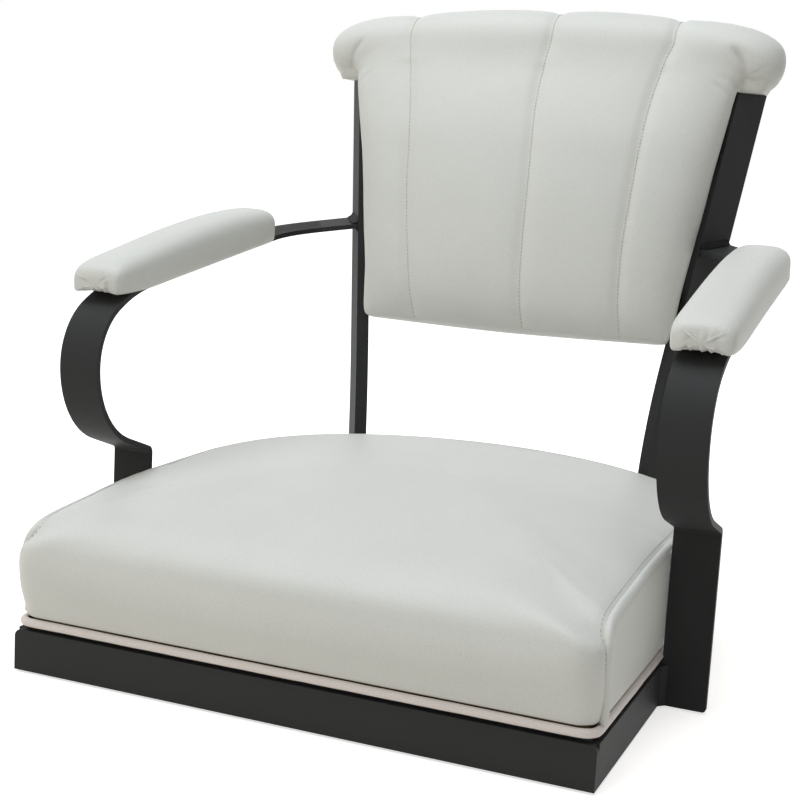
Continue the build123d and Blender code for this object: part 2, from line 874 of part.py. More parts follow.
def back_rod(radius, x, run, forward_low, forward_high):
    """Round rod square to the back's plane."""
    start = back_point(x, run, forward_low)
    direction = Vector(0, -lean_cosine, math.sin(lean_angle))
    base = Plane(origin=start, z_dir=direction)
    return Solid.extrude(Face(Wire.make_circle(radius, base)), direction * (forward_high - forward_low))


def crossbar_run(share):
    return share * back_run


def back_screw_places():
    places = []
    for share in crossbar_rise_shares:
        for side in (-1, 1):
            places.append((side * back_screw_share * board_half_low, crossbar_run(share)))
    return places


def back_crossbar(share):
    """Flat bar between the uprights' inner faces, its front in the back's plane."""
    middle = crossbar_run(share)
    half_height = crossbar_height / 2
    low = middle - half_height
    bar = back_slab(half_width, half_width, low, middle + half_height, -crossbar_thickness, 0)
    inner_x = foot_x - radial_y * upright_thickness / 2
    inner_y = foot_y + radial_x * upright_thickness / 2
    reach = overrun
    corners = []
    for side, along in ((-1, -reach), (1, -reach), (1, reach), (-1, reach)):
        corners.append((side * (inner_x + along * radial_x), inner_y + along * radial_y, 0))
    between = corners
    if inner_x - reach * radial_x < 0:
        apex = (0, inner_y - inner_x * radial_y / radial_x, 0)
        between = [apex, corners[2], corners[3]]
    wedge = Solid.extrude(Face(Wire.make_polygon(between)), Vector(0, 0, overrun + overrun))
    bar = (bar & wedge).solid()
    for x, run in back_screw_places():
        bar = bar - back_rod(screw_radius, x, run, -overrun, overrun)
    return bar


def back_screws():
    screws = []
    for x, run in back_screw_places():
        rear = -crossbar_thickness
        head = back_rod(screw_head_radius, x, run, rear - screw_head_height, rear)
        screws.append(head + back_rod(screw_radius, x, run, rear, board_front))
    return group(screws)


# Seat upholstery

def seat_board():
    board = d_solid(board_inset, board_corner_radius, skirt_top, board_top)
    for x, y in seat_tab_places():
        board = board - cylinder(screw_radius, x, y, skirt_top, skirt_top + screw_bite)
    return board


def dust_cover():
    """Cloth under the seat board, stopped short of the rails and cut round the tabs."""
    cloth = d_solid(cover_inset, board_corner_radius, skirt_top - cover_thickness, skirt_top)
    for x, y in seat_tab_places():
        half = seat_tab_length / 2 + cover_thickness
        y_low = front_y if y < 0 else y - seat_tab_reach / 2 - cover_thickness
        y_high = y + seat_tab_reach / 2 + cover_thickness if y < 0 else rear_y
        cloth = cloth - block(x - half, x + half, y_low, y_high, 0, board_top)
    return cloth


def seat_level(share):
    return board_top + share * seat_crown_height


def seat_section(side_share, front_inset_share, belly_share, front_share, rear_share, stepped):
    """Cut round the seat, parallel to its lower edge at the bottom and rising to the rear at the top."""
    side_inset = seat_side_inset + seat_crown_inset * side_share + top_welt_step * stepped
    front_inset = seat_crown_inset * front_inset_share - seat_front_belly * belly_share
    levels = (seat_level(front_share), seat_level(rear_share))
    return d_wire(side_inset, front_inset, cushion_corner_radius, *levels)


def seat_cushion():
    """Crowned cushion with a channel for the piping round its top."""
    form = Solid.make_loft([seat_section(*row) for row in seat_section_shares], True)
    right, rear, left = top_welt_edges()
    for edge in right[:2] + left[:2]:
        form = form - cord(edge, edge, welt_radius + welt_clearance)
    return form.solids().sort_by(SortBy.VOLUME)[-1]


def cord(path, first_edge, radius):
    """Round cord along a path, from the start of its first edge."""
    start = Plane(origin=first_edge @ 0, z_dir=first_edge % 0)
    return Solid.sweep(Face(Wire.make_circle(radius, start)), path)


def seat_base_welt():
    """Piping round the lower edge, against the board's edge."""
    level = board_top - welt_radius
    path = d_wire(welt_inset, welt_inset, cushion_corner_radius, level, level)
    return cord(path, path.edges()[0], welt_radius)


def top_welt_edges():
    """Path of the cord up the front corners and round the upper edge of the boxed sides."""
    side_x = half_width - welt_inset
    turn = top_welt_turn_radius
    front_level = seat_level(top_welt_front_share)
    slope = (seat_level(top_welt_rear_share) - front_level) / seat_depth
    rise_angle = math.atan(slope)
    corner_in = corner_arc_radius - welt_inset
    rear_in = rear_arc_radius - welt_inset
    corner_angle = math.pi / 2 - tangent_angle
    post_y = front_y + cushion_corner_radius / 2

    def on_slope(x, y):
        along = y - front_y
        return Vector(x, front_y + along * math.cos(rise_angle), front_level + along * math.sin(rise_angle))

    turn_run = post_y - front_y + turn * (1 - math.sin(rise_angle))
    post_top = front_level + slope * turn_run - turn * math.cos(rise_angle)

    def on_turn(side, heading):
        y = post_y + turn * (1 - math.sin(heading))
        return Vector(side * side_x, y, post_top + turn * math.cos(heading))

    def on_corner(side, angle):
        x = corner_arc_x + corner_in * math.cos(angle)
        return on_slope(side * x, corner_arc_y + corner_in * math.sin(angle))

    sides = []
    for side in (1, -1):
        post_end = on_turn(side, math.pi / 2)
        turned = on_turn(side, rise_angle)
        middle = on_turn(side, (math.pi / 2 + rise_angle) / 2)
        side_end = on_corner(side, 0)
        corner_middle = on_corner(side, corner_angle / 2)
        sides.append([
            Edge.make_line(Vector(side * side_x, post_y, board_top), post_end),
            Edge.make_three_point_arc(post_end, middle, turned),
            Edge.make_line(turned, side_end),
            Edge.make_three_point_arc(side_end, corner_middle, on_corner(side, corner_angle)),
        ])
    rear_middle = on_slope(0, rear_arc_y + rear_in)
    rear = Edge.make_three_point_arc(on_corner(1, corner_angle), rear_middle, on_corner(-1, corner_angle))
    return sides[0], [rear], sides[1]


def seat_top_welt():
    right, rear, left = top_welt_edges()
    return cord(Wire(right + rear + left), right[0], welt_radius)


save(front_rail(), "front_rail")
save(seat_hoop(), "seat_hoop")
save(swivel_strap(-1), "swivel_strap_front")
save(swivel_strap(1), "swivel_strap_rear")
save(seat_tabs(), "seat_tabs")
save(seat_screws(), "seat_screws")
save(swivel_lower_plate(), "swivel_lower_plate")
save(race(swivel_plate_thickness, ball_seat_clearance), "swivel_lower_race")
save(swivel_balls(), "swivel_balls")
save(ball_cage(), "ball_cage")
save(race(upper_race_level, ball_run_clearance), "swivel_upper_race")
save(swivel_upper_plate(), "swivel_upper_plate")
save(pivot_bolt(), "pivot_bolt")
save(pivot_washer(), "pivot_washer")
save(pivot_nut(), "pivot_nut")
save(swivel_bolts(), "swivel_bolts")
save(swivel_nuts(), "swivel_nuts")
both_sides(back_upright, "back_upright")
both_sides(arm_ribbon, "arm_ribbon")
both_sides(arm_board, "arm_board")
both_sides(arm_pad, "arm_pad")
right_screws = arm_screw_set()
left_screws = [mirror(piece, about=Plane.YZ) for piece in right_screws]
save(group(right_screws + left_screws), "arm_screws")
save(back_crossbar(crossbar_rise_shares[0]), "back_crossbar_lower")
save(back_crossbar(crossbar_rise_shares[1]), "back_crossbar_upper")
save(back_screws(), "back_screws")
save(back_board(), "back_board")
save(back_rear_cover(), "back_rear_cover")
save(back_cushion(), "back_cushion")
save(back_roll(), "back_roll")
save(seat_board(), "seat_board")
save(dust_cover(), "dust_cover")
save(seat_cushion(), "seat_cushion")
save(seat_base_welt(), "seat_base_welt")
save(seat_top_welt(), "seat_top_welt")
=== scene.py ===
import json
import math

import bmesh
import bpy
from bpy.props import FloatProperty, FloatVectorProperty, IntProperty, PointerProperty
from mathutils import Matrix, Vector, noise
from mathutils.bvhtree import BVHTree
from mathutils.kdtree import KDTree


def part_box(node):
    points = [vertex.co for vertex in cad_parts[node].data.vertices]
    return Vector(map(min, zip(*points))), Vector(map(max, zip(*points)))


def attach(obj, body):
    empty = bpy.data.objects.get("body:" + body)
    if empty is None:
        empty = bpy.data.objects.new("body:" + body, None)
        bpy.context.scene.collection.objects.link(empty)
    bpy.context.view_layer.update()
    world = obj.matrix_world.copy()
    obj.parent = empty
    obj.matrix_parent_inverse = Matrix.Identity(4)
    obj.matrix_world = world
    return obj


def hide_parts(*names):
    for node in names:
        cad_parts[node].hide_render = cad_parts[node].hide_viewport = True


bl_info = {
    "name": "Upholstered stool head",
    "version": (1, 0, 0),
    "blender": (4, 5, 0),
    "location": "View3D > Sidebar > Stool head",
    "description": "Dresses the stool head with its upholstery, welds and finishes",
    "category": "Object",
}

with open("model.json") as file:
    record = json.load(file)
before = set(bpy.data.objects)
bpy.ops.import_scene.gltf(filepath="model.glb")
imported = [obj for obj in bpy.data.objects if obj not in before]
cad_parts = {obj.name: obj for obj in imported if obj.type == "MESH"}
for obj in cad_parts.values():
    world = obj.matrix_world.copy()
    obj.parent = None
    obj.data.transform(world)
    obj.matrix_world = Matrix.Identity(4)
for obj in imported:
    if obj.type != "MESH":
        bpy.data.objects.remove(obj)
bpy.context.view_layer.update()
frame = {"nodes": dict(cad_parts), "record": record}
MM = 0.001

# Places taken from the frame
SEAT_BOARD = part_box("seat_board")
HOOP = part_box("seat_hoop")
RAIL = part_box("front_rail")
HALF_WIDTH = HOOP[1].x
FRONT_Y = RAIL[0].y
REAR_Y = HOOP[1].y
BOARD_TOP = SEAT_BOARD[1].z

# The seat's plan: a D whose rear and corner arcs meet smoothly
REAR_ARC = 274 * MM
CORNER_OFFSET = 38 * MM
CORNER_ARC = HALF_WIDTH - CORNER_OFFSET
REAR_ARC_Y = REAR_Y - REAR_ARC
TANGENT_ANGLE = math.asin(CORNER_OFFSET / (REAR_ARC - CORNER_ARC))
CORNER_ARC_Y = REAR_ARC_Y + (REAR_ARC - CORNER_ARC) * math.cos(TANGENT_ANGLE)

# The back's plane, which touches the uprights' foremost edges
BACK_LEAN = math.radians(11.128)
BACK_FOOT = Vector((0, 217.48, 258)) * MM
BACK_UP = Vector((0, math.sin(BACK_LEAN), math.cos(BACK_LEAN)))
BACK_FORWARD = Vector((0, -math.cos(BACK_LEAN), math.sin(BACK_LEAN)))
BACK_REST = 1.3

# The arm's run under the pad
ARM_SLOPE = math.radians(8.4)
ARM_FRONT = Vector((HALF_WIDTH, FRONT_Y + 197.4 * MM, 2 * MM))
# Where the run begins, and the two bends of the scroll before it: along and up, in millimetres
RUN_START = (-5.05, 304.43)
EASY_BEND = 150
TIGHT_BEND = 60
TIGHT_CENTRE = (-28.14, 233.98)
TIGHT_END, EASY_END = -58.1, -4.35
RIBBON_WIDTH = 38.1


class StoolFinishSettings(bpy.types.PropertyGroup):
    """Colours and surface values of the stool head's finishes."""

    metal_colour: FloatVectorProperty(
        name="Metal colour", description="Colour of the powder coat",
        default=(0.0048, 0.0045, 0.0040), subtype="COLOR", min=0, max=1)
    cover_colour: FloatVectorProperty(
        name="Cover colour", description="Colour of the vinyl cover",
        default=(0.71, 0.715, 0.675), subtype="COLOR", min=0, max=1)
    piping_colour: FloatVectorProperty(
        name="Piping colour", description="Colour of the cord round the seat",
        default=(0.82, 0.755, 0.71), subtype="COLOR", min=0, max=1)
    thread_colour: FloatVectorProperty(
        name="Thread colour", description="Colour of the sewing thread",
        default=(0.58, 0.53, 0.42), subtype="COLOR", min=0, max=1)
    grain_size: FloatProperty(
        name="Grain size", description="Size of one pebble of the vinyl's grain",
        default=1.1 * MM, min=0.2 * MM, max=5 * MM, subtype="DISTANCE", unit="LENGTH")


class StoolSizeSettings(bpy.types.PropertyGroup):
    """Sizes of the stool head's upholstery."""

    piping_radius: FloatProperty(
        name="Piping radius", description="Radius of the cord round the seat",
        default=3.5 * MM, min=1 * MM, max=8 * MM, subtype="DISTANCE", unit="LENGTH")
    seat_crown: FloatProperty(
        name="Seat crown", description="Height of the seat's highest point above its board",
        default=112.5 * MM, min=60 * MM, max=160 * MM, subtype="DISTANCE", unit="LENGTH")
    seat_puff: FloatProperty(
        name="Seat puff", description="How far the seat's cover may swell under its filling",
        default=4 * MM, min=0, max=20 * MM, subtype="DISTANCE", unit="LENGTH")
    back_puff: FloatProperty(
        name="Back puff", description="How far the back's channels may swell",
        default=5 * MM, min=0, max=20 * MM, subtype="DISTANCE", unit="LENGTH")
    pad_puff: FloatProperty(
        name="Pad puff", description="How far an arm pad may swell",
        default=2.5 * MM, min=0, max=10 * MM, subtype="DISTANCE", unit="LENGTH")
    seam_depth: FloatProperty(
        name="Seam depth", description="Depth of the sewn valleys in the back",
        default=5 * MM, min=0, max=15 * MM, subtype="DISTANCE", unit="LENGTH")
    stitch_pitch: FloatProperty(
        name="Stitch pitch", description="Distance from one stitch to the next",
        default=3.6 * MM, min=1.5 * MM, max=8 * MM, subtype="DISTANCE", unit="LENGTH")
    cloth_frames: IntProperty(
        name="Cloth frames", description="Steps for which each cover is simulated",
        default=14, min=1, max=60)


# Curves and tables

def smooth(share):
    """From 0 to 1 with soft ends, as the share goes from 0 to 1."""
    share = min(max(share, 0.0), 1.0)
    return share * share * (3 - 2 * share)


def hump(distance, width):
    """1 at no distance, and fading out beyond the width."""
    return math.exp(-(distance / width) ** 2)


def read_table(table, at):
    """Row of values at a place on a table whose rows start with their place, on smooth curves."""
    places = [row[0] for row in table]
    at = min(max(at, places[0]), places[-1])
    k = max(i for i in range(len(places) - 1) if places[i] <= at)
    last = len(table) - 1
    before, low, high, after = (table[min(max(i, 0), last)] for i in range(k - 1, k + 3))
    span = high[0] - low[0]
    t = (at - low[0]) / span
    values = []
    for i in range(1, len(low)):
        start_slope = (high[i] - before[i]) / (high[0] - before[0]) * span
        end_slope = (after[i] - low[i]) / (after[0] - low[0]) * span
        values.append(
            low[i] * (1 + 2 * t) * (1 - t) ** 2 + start_slope * t * (1 - t) ** 2
            + high[i] * t * t * (3 - 2 * t) - end_slope * t * t * (1 - t))
    return values


def even_path(points, step, closed=False):
    """The same path with points about one step apart."""
    points = list(points) + ([points[0]] if closed else [])
    lengths = [0.0]
    for a, b in zip(points, points[1:]):
        lengths.append(lengths[-1] + (b - a).length)
    count = max(2, round(lengths[-1] / step))
    out, k = [], 0
    for i in range(count if closed else count + 1):
        at = lengths[-1] * i / count
        while k < len(points) - 2 and lengths[k + 1] < at:
            k += 1
        share = (at - lengths[k]) / max(lengths[k + 1] - lengths[k], 1e-9)
        out.append(points[k].lerp(points[k + 1], share))
    return out


def soften_path(points, rounds, closed=False):
    """The path with its corners eased."""
    for _ in range(rounds):
        last = len(points) - 1
        points = [
            p if not closed and i in (0, last)
            else (points[i - 1] + p * 2 + points[(i + 1) % len(points)]) / 4
            for i, p in enumerate(points)]
    return points


# Mesh helpers

def grow_rings(rows, segments, place, closed=True):
    """A mesh of rings, each drawn out of the one before; place(row, i) says where a corner goes."""
    form = bmesh.new()
    ring = list(bmesh.ops.create_circle(form, cap_ends=False, radius=1.0, segments=segments)["verts"])
    for i, corner in enumerate(ring):
        corner.co = place(0, i)
    first = ring
    for row in range(1, rows):
        edges = [form.edges.get((ring[i], ring[(i + 1) % segments])) for i in range(segments)]
        grown = bmesh.ops.extrude_edge_only(form, edges=edges)["geom"]
        fresh = {g for g in grown if isinstance(g, bmesh.types.BMVert)}
        ring = [
            next(e.other_vert(v) for e in v.link_edges if e.other_vert(v) in fresh) for v in ring]
        for i, corner in enumerate(ring):
            corner.co = place(row, i)
    if closed:
        for end in (first, ring):
            centre = sum((v.co for v in end), Vector()) / segments
            bmesh.ops.pointmerge(form, verts=end, merge_co=centre)
    return form


def finish_form(form, name, finish, smooth_faces=True):
    """The bmesh as an object with one of the part's finishes, its faces pointing outwards."""
    bmesh.ops.recalc_face_normals(form, faces=form.faces)
    mesh = bpy.data.meshes.new(name)
    form.to_mesh(mesh)
    form.free()
    mesh.polygons.foreach_set("use_smooth", [smooth_faces] * len(mesh.polygons))
    piece = bpy.data.objects.new(name, mesh)
    bpy.context.scene.collection.objects.link(piece)
    mesh.materials.append(finish_named(finish))
    return piece


def path_frames(points, closed=False):
    """For each point of a path: the point, and two directions across the path."""
    frames = []
    last = len(points) - 1
    for i, point in enumerate(points):
        ahead = points[(i + 1) % len(points)] if closed or i < last else point
        behind = points[i - 1] if closed or i > 0 else point
        along = (ahead - behind).normalized()
        side = along.cross(Vector((0, 0, 1)))
        if side.length < 0.3:
            side = frames[-1][1] if frames else along.cross(Vector((0, -1, 0)))
            side = side - along * side.dot(along)
        side.normalize()
        frames.append((point, side, side.cross(along)))
    return frames


def cord_form(points, radius, segments, closed=False, wobble=0.0):
    """Round cord along a path, its thickness varying a little."""
    frames = path_frames(points, closed)
    rows = len(frames) + (1 if closed else 0)

    def place(row, i):
        point, side, up = frames[row % len(frames)]
        angle = 2 * math.pi * i / segments
        size = radius * (1 + wobble * noise.noise(point * 60 + Vector((angle, 0, 0))))
        return point + (side * math.cos(angle) + up * math.sin(angle)) * size

    form = grow_rings(rows, segments, place, not closed)
    if closed:
        bmesh.ops.remove_doubles(form, verts=form.verts, dist=0.01 * MM)
    return form


def fillet_form(points, up, out, size):
    """Hollow weld along a corner line, between a face that runs up and a face that runs out."""
    steps = 7

    def place(row, i):
        point = points[row]
        swell = size * (1 + 0.12 * noise.noise(point * 90))
        if i == steps:
            return point - (up + out) * 0.3 * MM
        angle = math.pi / 2 * i / (steps - 1)
        return point + (up + out) * swell - (up * math.cos(angle) + out * math.sin(angle)) * swell

    return grow_rings(len(points), steps + 1, place)


def surface_of(piece):
    """The piece's surface as a tree for finding points on it."""
    corners = [v.co.copy() for v in piece.data.vertices]
    return BVHTree.FromPolygons(corners, [list(p.vertices) for p in piece.data.polygons])


def tree_of(points):
    """The points as one tree for finding the nearest of them."""
    tree = KDTree(len(points))
    for i, point in enumerate(points):
        tree.insert(point, i)
    tree.balance()
    return tree


def merge_forms(forms):
    """All the forms in one."""
    whole = bmesh.new()
    for form in forms:
        part = bpy.data.meshes.new("part")
        form.to_mesh(part)
        form.free()
        whole.from_mesh(part)
        bpy.data.meshes.remove(part)
    return whole


def laid_along(place, direction, sizes, axis="Z", up="Y"):
    """Matrix for a small form of these sizes at a place, one of its axes along the direction."""
    turn = direction.to_track_quat(axis, up).to_matrix().to_4x4()
    return Matrix.Translation(place) @ turn @ Matrix.Diagonal((*sizes, 1))


def thicken(piece, thickness, offset):
    """Give an open skin its thickness."""
    wall = piece.modifiers.new("Thickness", "SOLIDIFY")
    wall.thickness = thickness
    wall.offset = offset


def lay_stitches(name, lines, radius, share):
    """One small rounded thread for each stitch along the lines, as one piece."""
    form = bmesh.new()
    for line in lines:
        for start, end in zip(line, line[1:]):
            along = end - start
            shape = laid_along((start + end) / 2, along, (radius, radius, along.length * share / 2))
            bmesh.ops.create_uvsphere(form, u_segments=6, v_segments=4, radius=1, matrix=shape)
    piece = finish_form(form, name, "thread")
    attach(piece, "seat_head")


# Corners held less than this are free
HELD_LEAST = 0.001


def fill_with_air(piece, hold, pressure, cap, frames, slack=0.0):
    """Swell a cover by cloth simulation, up to the cap; hold(p) says how firmly a corner stays."""
    mesh = piece.data
    rest = [v.co.copy() for v in mesh.vertices]
    held = [weight if weight > HELD_LEAST else 0.0 for weight in map(hold, rest)]
    group = piece.vertex_groups.new(name="Held")
    for index, weight in enumerate(held):
        if weight:
            group.add([index], weight, "REPLACE")
    cloth = piece.modifiers.new("Cover", "CLOTH")
    settings = cloth.settings
    settings.quality = 5
    settings.mass = 0.35
    settings.tension_stiffness = 18
    settings.compression_stiffness = 12
    settings.shear_stiffness = 6
    settings.bending_stiffness = 4.0
    settings.use_pressure = True
    settings.uniform_pressure_force = pressure
    settings.shrink_min = -slack
    settings.effector_weights.gravity = 0
    settings.vertex_group_mass = group.name
    cloth.collision_settings.use_collision = False
    cloth.point_cache.frame_start = 1
    cloth.point_cache.frame_end = frames
    scene = bpy.context.scene
    for step in range(1, frames + 1):
        scene.frame_set(step)
    graph = bpy.context.evaluated_depsgraph_get()
    swollen = piece.evaluated_get(graph).to_mesh()
    moved = [v.co.copy() for v in swollen.vertices]
    piece.evaluated_get(graph).to_mesh_clear()
    piece.modifiers.remove(cloth)
    piece.vertex_groups.remove(group)
    scene.frame_set(1)
    for vertex, start, end, weight in zip(mesh.vertices, rest, moved, held):
        step = end - start
        limit = cap * (1 - weight)
        if step.length > limit:
            step = step * (limit / max(step.length, 1e-9))
        vertex.co = start + step
    mesh.update()


def bake_modifier(piece, modifier):
    """Apply a modifier to the piece's mesh."""
    graph = bpy.context.evaluated_depsgraph_get()
    baked = bpy.data.meshes.new_from_object(piece.evaluated_get(graph))
    piece.modifiers.remove(modifier)
    old = piece.data
    name = old.name
    piece.data = baked
    bpy.data.meshes.remove(old)
    baked.name = name


def subdivide(piece):
    """Split each face in four, rounding the form."""
    modifier = piece.modifiers.new("Smooth", "SUBSURF")
    modifier.levels = 1
    modifier.render_levels = 1
    bake_modifier(piece, modifier)


# Materials

def fill_inputs(tree, node, *values, **named):
    """Set a node's inputs, by place or by name, each to a value or to a link from a socket."""
    named = {name.replace("_", " "): value for name, value in named.items()}
    for key, value in [*enumerate(values), *named.items()]:
        if isinstance(value, bpy.types.NodeSocket):
            tree.links.new(value, node.inputs[key])
        elif value is not None:
            node.inputs[key].default_value = value
    return node


def node_of(tree, kind, *values, **named):
    """A new shader node: names in small letters are its own settings, the others its inputs."""
    node = tree.nodes.new("ShaderNode" + kind)
    for name in [name for name in named if name.islower()]:
        setattr(node, name, named.pop(name))
    return fill_inputs(tree, node, *values, **named)


def object_place(tree):
    """Where a point is in the piece's own measure."""
    return node_of(tree, "TexCoord").outputs["Object"]


def ranged(tree, value, low, high, to_low, to_high):
    """The value, carried from one range over to another."""
    node = node_of(
        tree, "MapRange", Value=value, From_Min=low, From_Max=high, To_Min=to_low, To_Max=to_high)
    return node.outputs["Result"]


def varied(tree, share, colour, low, high):
    """The colour, darkened or lightened by a mask."""
    dark = [c * low for c in colour] + [1]
    light = [min(c * high, 1) for c in colour] + [1]
    return node_of(tree, "Mix", data_type="RGBA", Factor=share, A=dark, B=light).outputs["Result"]


def bumped(tree, height, strength, distance, normal=None):
    """A normal that follows the height."""
    node = node_of(tree, "Bump", Height=height, Strength=strength, Distance=distance, Normal=normal)
    return node.outputs["Normal"]


def place_group(tree, name, build, **values):
    """Outputs of a node group, made when first asked for; build(tree, given) returns them by name."""
    group = bpy.data.node_groups.get(name)
    if group is None:
        group = bpy.data.node_groups.new(name, "ShaderNodeTree")
        for label, value in values.items():
            socket = group.interface.new_socket(label, in_out="INPUT", socket_type="NodeSocketFloat")
            socket.default_value = value
        made = build(group, group.nodes.new("NodeGroupInput").outputs)
        for label in made:
            group.interface.new_socket(label, in_out="OUTPUT", socket_type="NodeSocketFloat")
        fill_inputs(group, group.nodes.new("NodeGroupOutput"), **made)
    return node_of(tree, "Group", node_tree=group, **values).outputs


def pebbled_grain(tree, given):
    """Fine pebbled grain: a shade from 0 to 1 and a height."""
    place = object_place(tree)
    warp = node_of(tree, "TexNoise", Vector=place, Scale=140.0, Detail=2.0).outputs["Color"]
    shift = node_of(tree, "VectorMath", warp, (0.0016, 0.0016, 0.0016), place, operation="MULTIPLY_ADD")
    cells = node_of(
        tree, "TexVoronoi", feature="SMOOTH_F1", Vector=shift.outputs[0], Scale=given["Scale"],
        Smoothness=0.35)
    distance = cells.outputs["Distance"]
    fine = node_of(tree, "TexNoise", Vector=place, Scale=2600.0, Detail=2.0).outputs["Fac"]
    blotch = node_of(tree, "TexNoise", Vector=place, Scale=16.0, Detail=3.0).outputs["Fac"]
    height = node_of(tree, "Math", distance, -0.75, fine, operation="MULTIPLY_ADD").outputs[0]
    pebbles = ranged(tree, distance, 0.1, 0.9, 1.0, 0.0)
    shade = node_of(tree, "Mix", Factor=given["Unevenness"], A=pebbles, B=blotch).outputs["Result"]
    return {"Shade": shade, "Height": height}


def powder_speckle(tree, given):
    """Orange-peel of a powder coat: light specks, a height, and the form's sharp edges."""
    peel = node_of(
        tree, "TexNoise", Vector=object_place(tree), Scale=given["Scale"], Detail=3.0, Roughness=0.6)
    height = peel.outputs["Fac"]
    specks = ranged(tree, height, 0.52, 0.78, 0, 1)
    edges = ranged(tree, node_of(tree, "NewGeometry").outputs["Pointiness"], 0.52, 0.62, 0, 1)
    return {"Specks": specks, "Height": height, "Edges": edges}


def new_material(name):
    """A blank material: itself, its nodes and its shader."""
    material = bpy.data.materials.new(name)
    material.use_nodes = True
    tree = material.node_tree
    return material, tree, tree.nodes["Principled BSDF"]


def cover_material(name, colour, roughness):
    """Vinyl with a pebbled grain and a slight sheen."""
    material, tree, shader = new_material(name)
    scale = 1 / bpy.context.scene.stool_finish.grain_size
    grain = place_group(tree, "Pebbled grain", pebbled_grain, Scale=scale, Unevenness=0.45)
    fill_inputs(
        tree, shader, Base_Color=varied(tree, grain["Shade"], colour, 0.90, 1.06),
        Roughness=ranged(tree, grain["Shade"], 0, 1, roughness + 0.06, roughness - 0.04),
        Normal=bumped(tree, grain["Height"], 0.16, 0.12 * MM),
        Specular_IOR_Level=0.35, Sheen_Weight=0.08, Sheen_Roughness=0.4)
    return material


def coat_material(name, colour):
    """Powder coat with light specks, and edges that are eased and lightened, partly as wear and partly as a
    painted highlight along them.
    """
    material, tree, shader = new_material(name)
    speckle = place_group(tree, "Powder speckle", powder_speckle, Scale=1400.0)
    plain = varied(tree, speckle["Specks"], colour, 0.85, 2.6)
    # The edges' lighter colour is partly rubbed wear and partly a painted highlight along the rounded
    # edges.
    worn_and_highlit = node_of(
        tree, "Mix", data_type="RGBA", Factor=speckle["Edges"], A=plain, B=(0.034, 0.035, 0.035, 1))
    eased = node_of(tree, "Bevel", samples=4, Radius=0.9 * MM).outputs["Normal"]
    fill_inputs(
        tree, shader, Base_Color=worn_and_highlit.outputs["Result"], Specular_IOR_Level=0.11,
        Roughness=ranged(tree, speckle["Height"], 0.3, 0.7, 0.62, 0.48),
        Normal=bumped(tree, speckle["Height"], 0.30, 0.25 * MM, eased))
    return material


def bright_metal_material(name, colour, roughness):
    """Bare or plated metal, slightly uneven."""
    material, tree, shader = new_material(name)
    height = place_group(tree, "Powder speckle", powder_speckle, Scale=420.0)["Height"]
    fill_inputs(
        tree, shader, Base_Color=varied(tree, height, colour, 0.75, 1.2), Metallic=1.0,
        Roughness=ranged(tree, height, 0.3, 0.7, roughness - 0.08, roughness + 0.1),
        Normal=bumped(tree, height, 0.12, 0.1 * MM))
    return material


def plywood_material(name):
    """Plywood, its grain drawn out along the board and fine through its layers."""
    material, tree, shader = new_material(name)
    stretched = node_of(tree, "Mapping", Vector=object_place(tree), Scale=(14.0, 160.0, 700.0))
    rings = node_of(
        tree, "TexNoise", Vector=stretched.outputs["Vector"], Scale=1.0, Detail=5.0, Roughness=0.65)
    streaks = rings.outputs["Fac"]
    ramp = node_of(tree, "ValToRGB", Fac=streaks)
    dark, light = ramp.color_ramp.elements
    dark.position = 0.35
    dark.color = (0.27, 0.15, 0.07, 1)
    light.position = 0.68
    light.color = (0.52, 0.35, 0.19, 1)
    fill_inputs(
        tree, shader, Base_Color=ramp.outputs["Color"], Roughness=0.75,
        Normal=bumped(tree, streaks, 0.3, 0.2 * MM))
    return material


def lining_material(name, colour):
    """Thin non-woven cloth: fibres pressed in small squares."""
    material, tree, shader = new_material(name)
    place = object_place(tree)
    fibres = node_of(tree, "TexNoise", Vector=place, Scale=1800.0, Detail=4.0, Roughness=0.7).outputs["Fac"]
    squares = node_of(tree, "TexVoronoi", distance="CHEBYCHEV", Vector=place, Scale=700.0, Randomness=0.15)
    height = node_of(
        tree, "Math", squares.outputs["Distance"], 0.6, fibres, operation="MULTIPLY_ADD").outputs[0]
    fill_inputs(
        tree, shader, Base_Color=varied(tree, height, colour, 0.6, 1.5), Roughness=0.95,
        Normal=bumped(tree, height, 0.5, 0.15 * MM))
    return material


def thread_material(name, colour):
    """Twisted sewing thread."""
    material, tree, shader = new_material(name)
    twist = node_of(tree, "TexNoise", Vector=object_place(tree), Scale=3000.0, Detail=2.0).outputs["Fac"]
    fill_inputs(
        tree, shader, Base_Color=varied(tree, twist, colour, 0.7, 1.25), Roughness=0.7,
        Normal=bumped(tree, twist, 0.3, 0.05 * MM))
    return material


def shown_directly(tree):
    """1 for rays that see the stage itself, in the picture, in metal or through glass."""
    rays = node_of(tree, "LightPath").outputs
    seen = rays["Is Camera Ray"]
    for kind in ("Is Glossy Ray", "Is Transmission Ray"):
        seen = node_of(tree, "Math", seen, rays[kind], operation="ADD", use_clamp=True).outputs[0]
    return seen


def floor_material(name):
    """A pale surface that takes shadows, and glows white where it is seen directly."""
    material, tree, shader = new_material(name)
    place = object_place(tree)
    mottle = node_of(tree, "TexNoise", Vector=place, Scale=3.0, Detail=2.0).outputs["Fac"]
    fill_inputs(
        tree, shader, Base_Color=varied(tree, mottle, (0.90, 0.86, 0.80), 0.99, 1.01), Roughness=1.0,
        Specular_IOR_Level=0.0)
    far = node_of(tree, "VectorMath", place, operation="LENGTH").outputs["Value"]
    brighter = ranged(tree, far, 0.35, 0.8, 0.66, 1.0)
    strength = node_of(tree, "Math", shown_directly(tree), brighter, operation="MULTIPLY")
    glow = node_of(tree, "Emission", Color=(1, 1, 1, 1), Strength=strength.outputs[0])
    both = node_of(tree, "AddShader", shader.outputs["BSDF"], glow.outputs["Emission"])
    fill_inputs(tree, tree.nodes["Material Output"], Surface=both.outputs["Shader"])
    return material


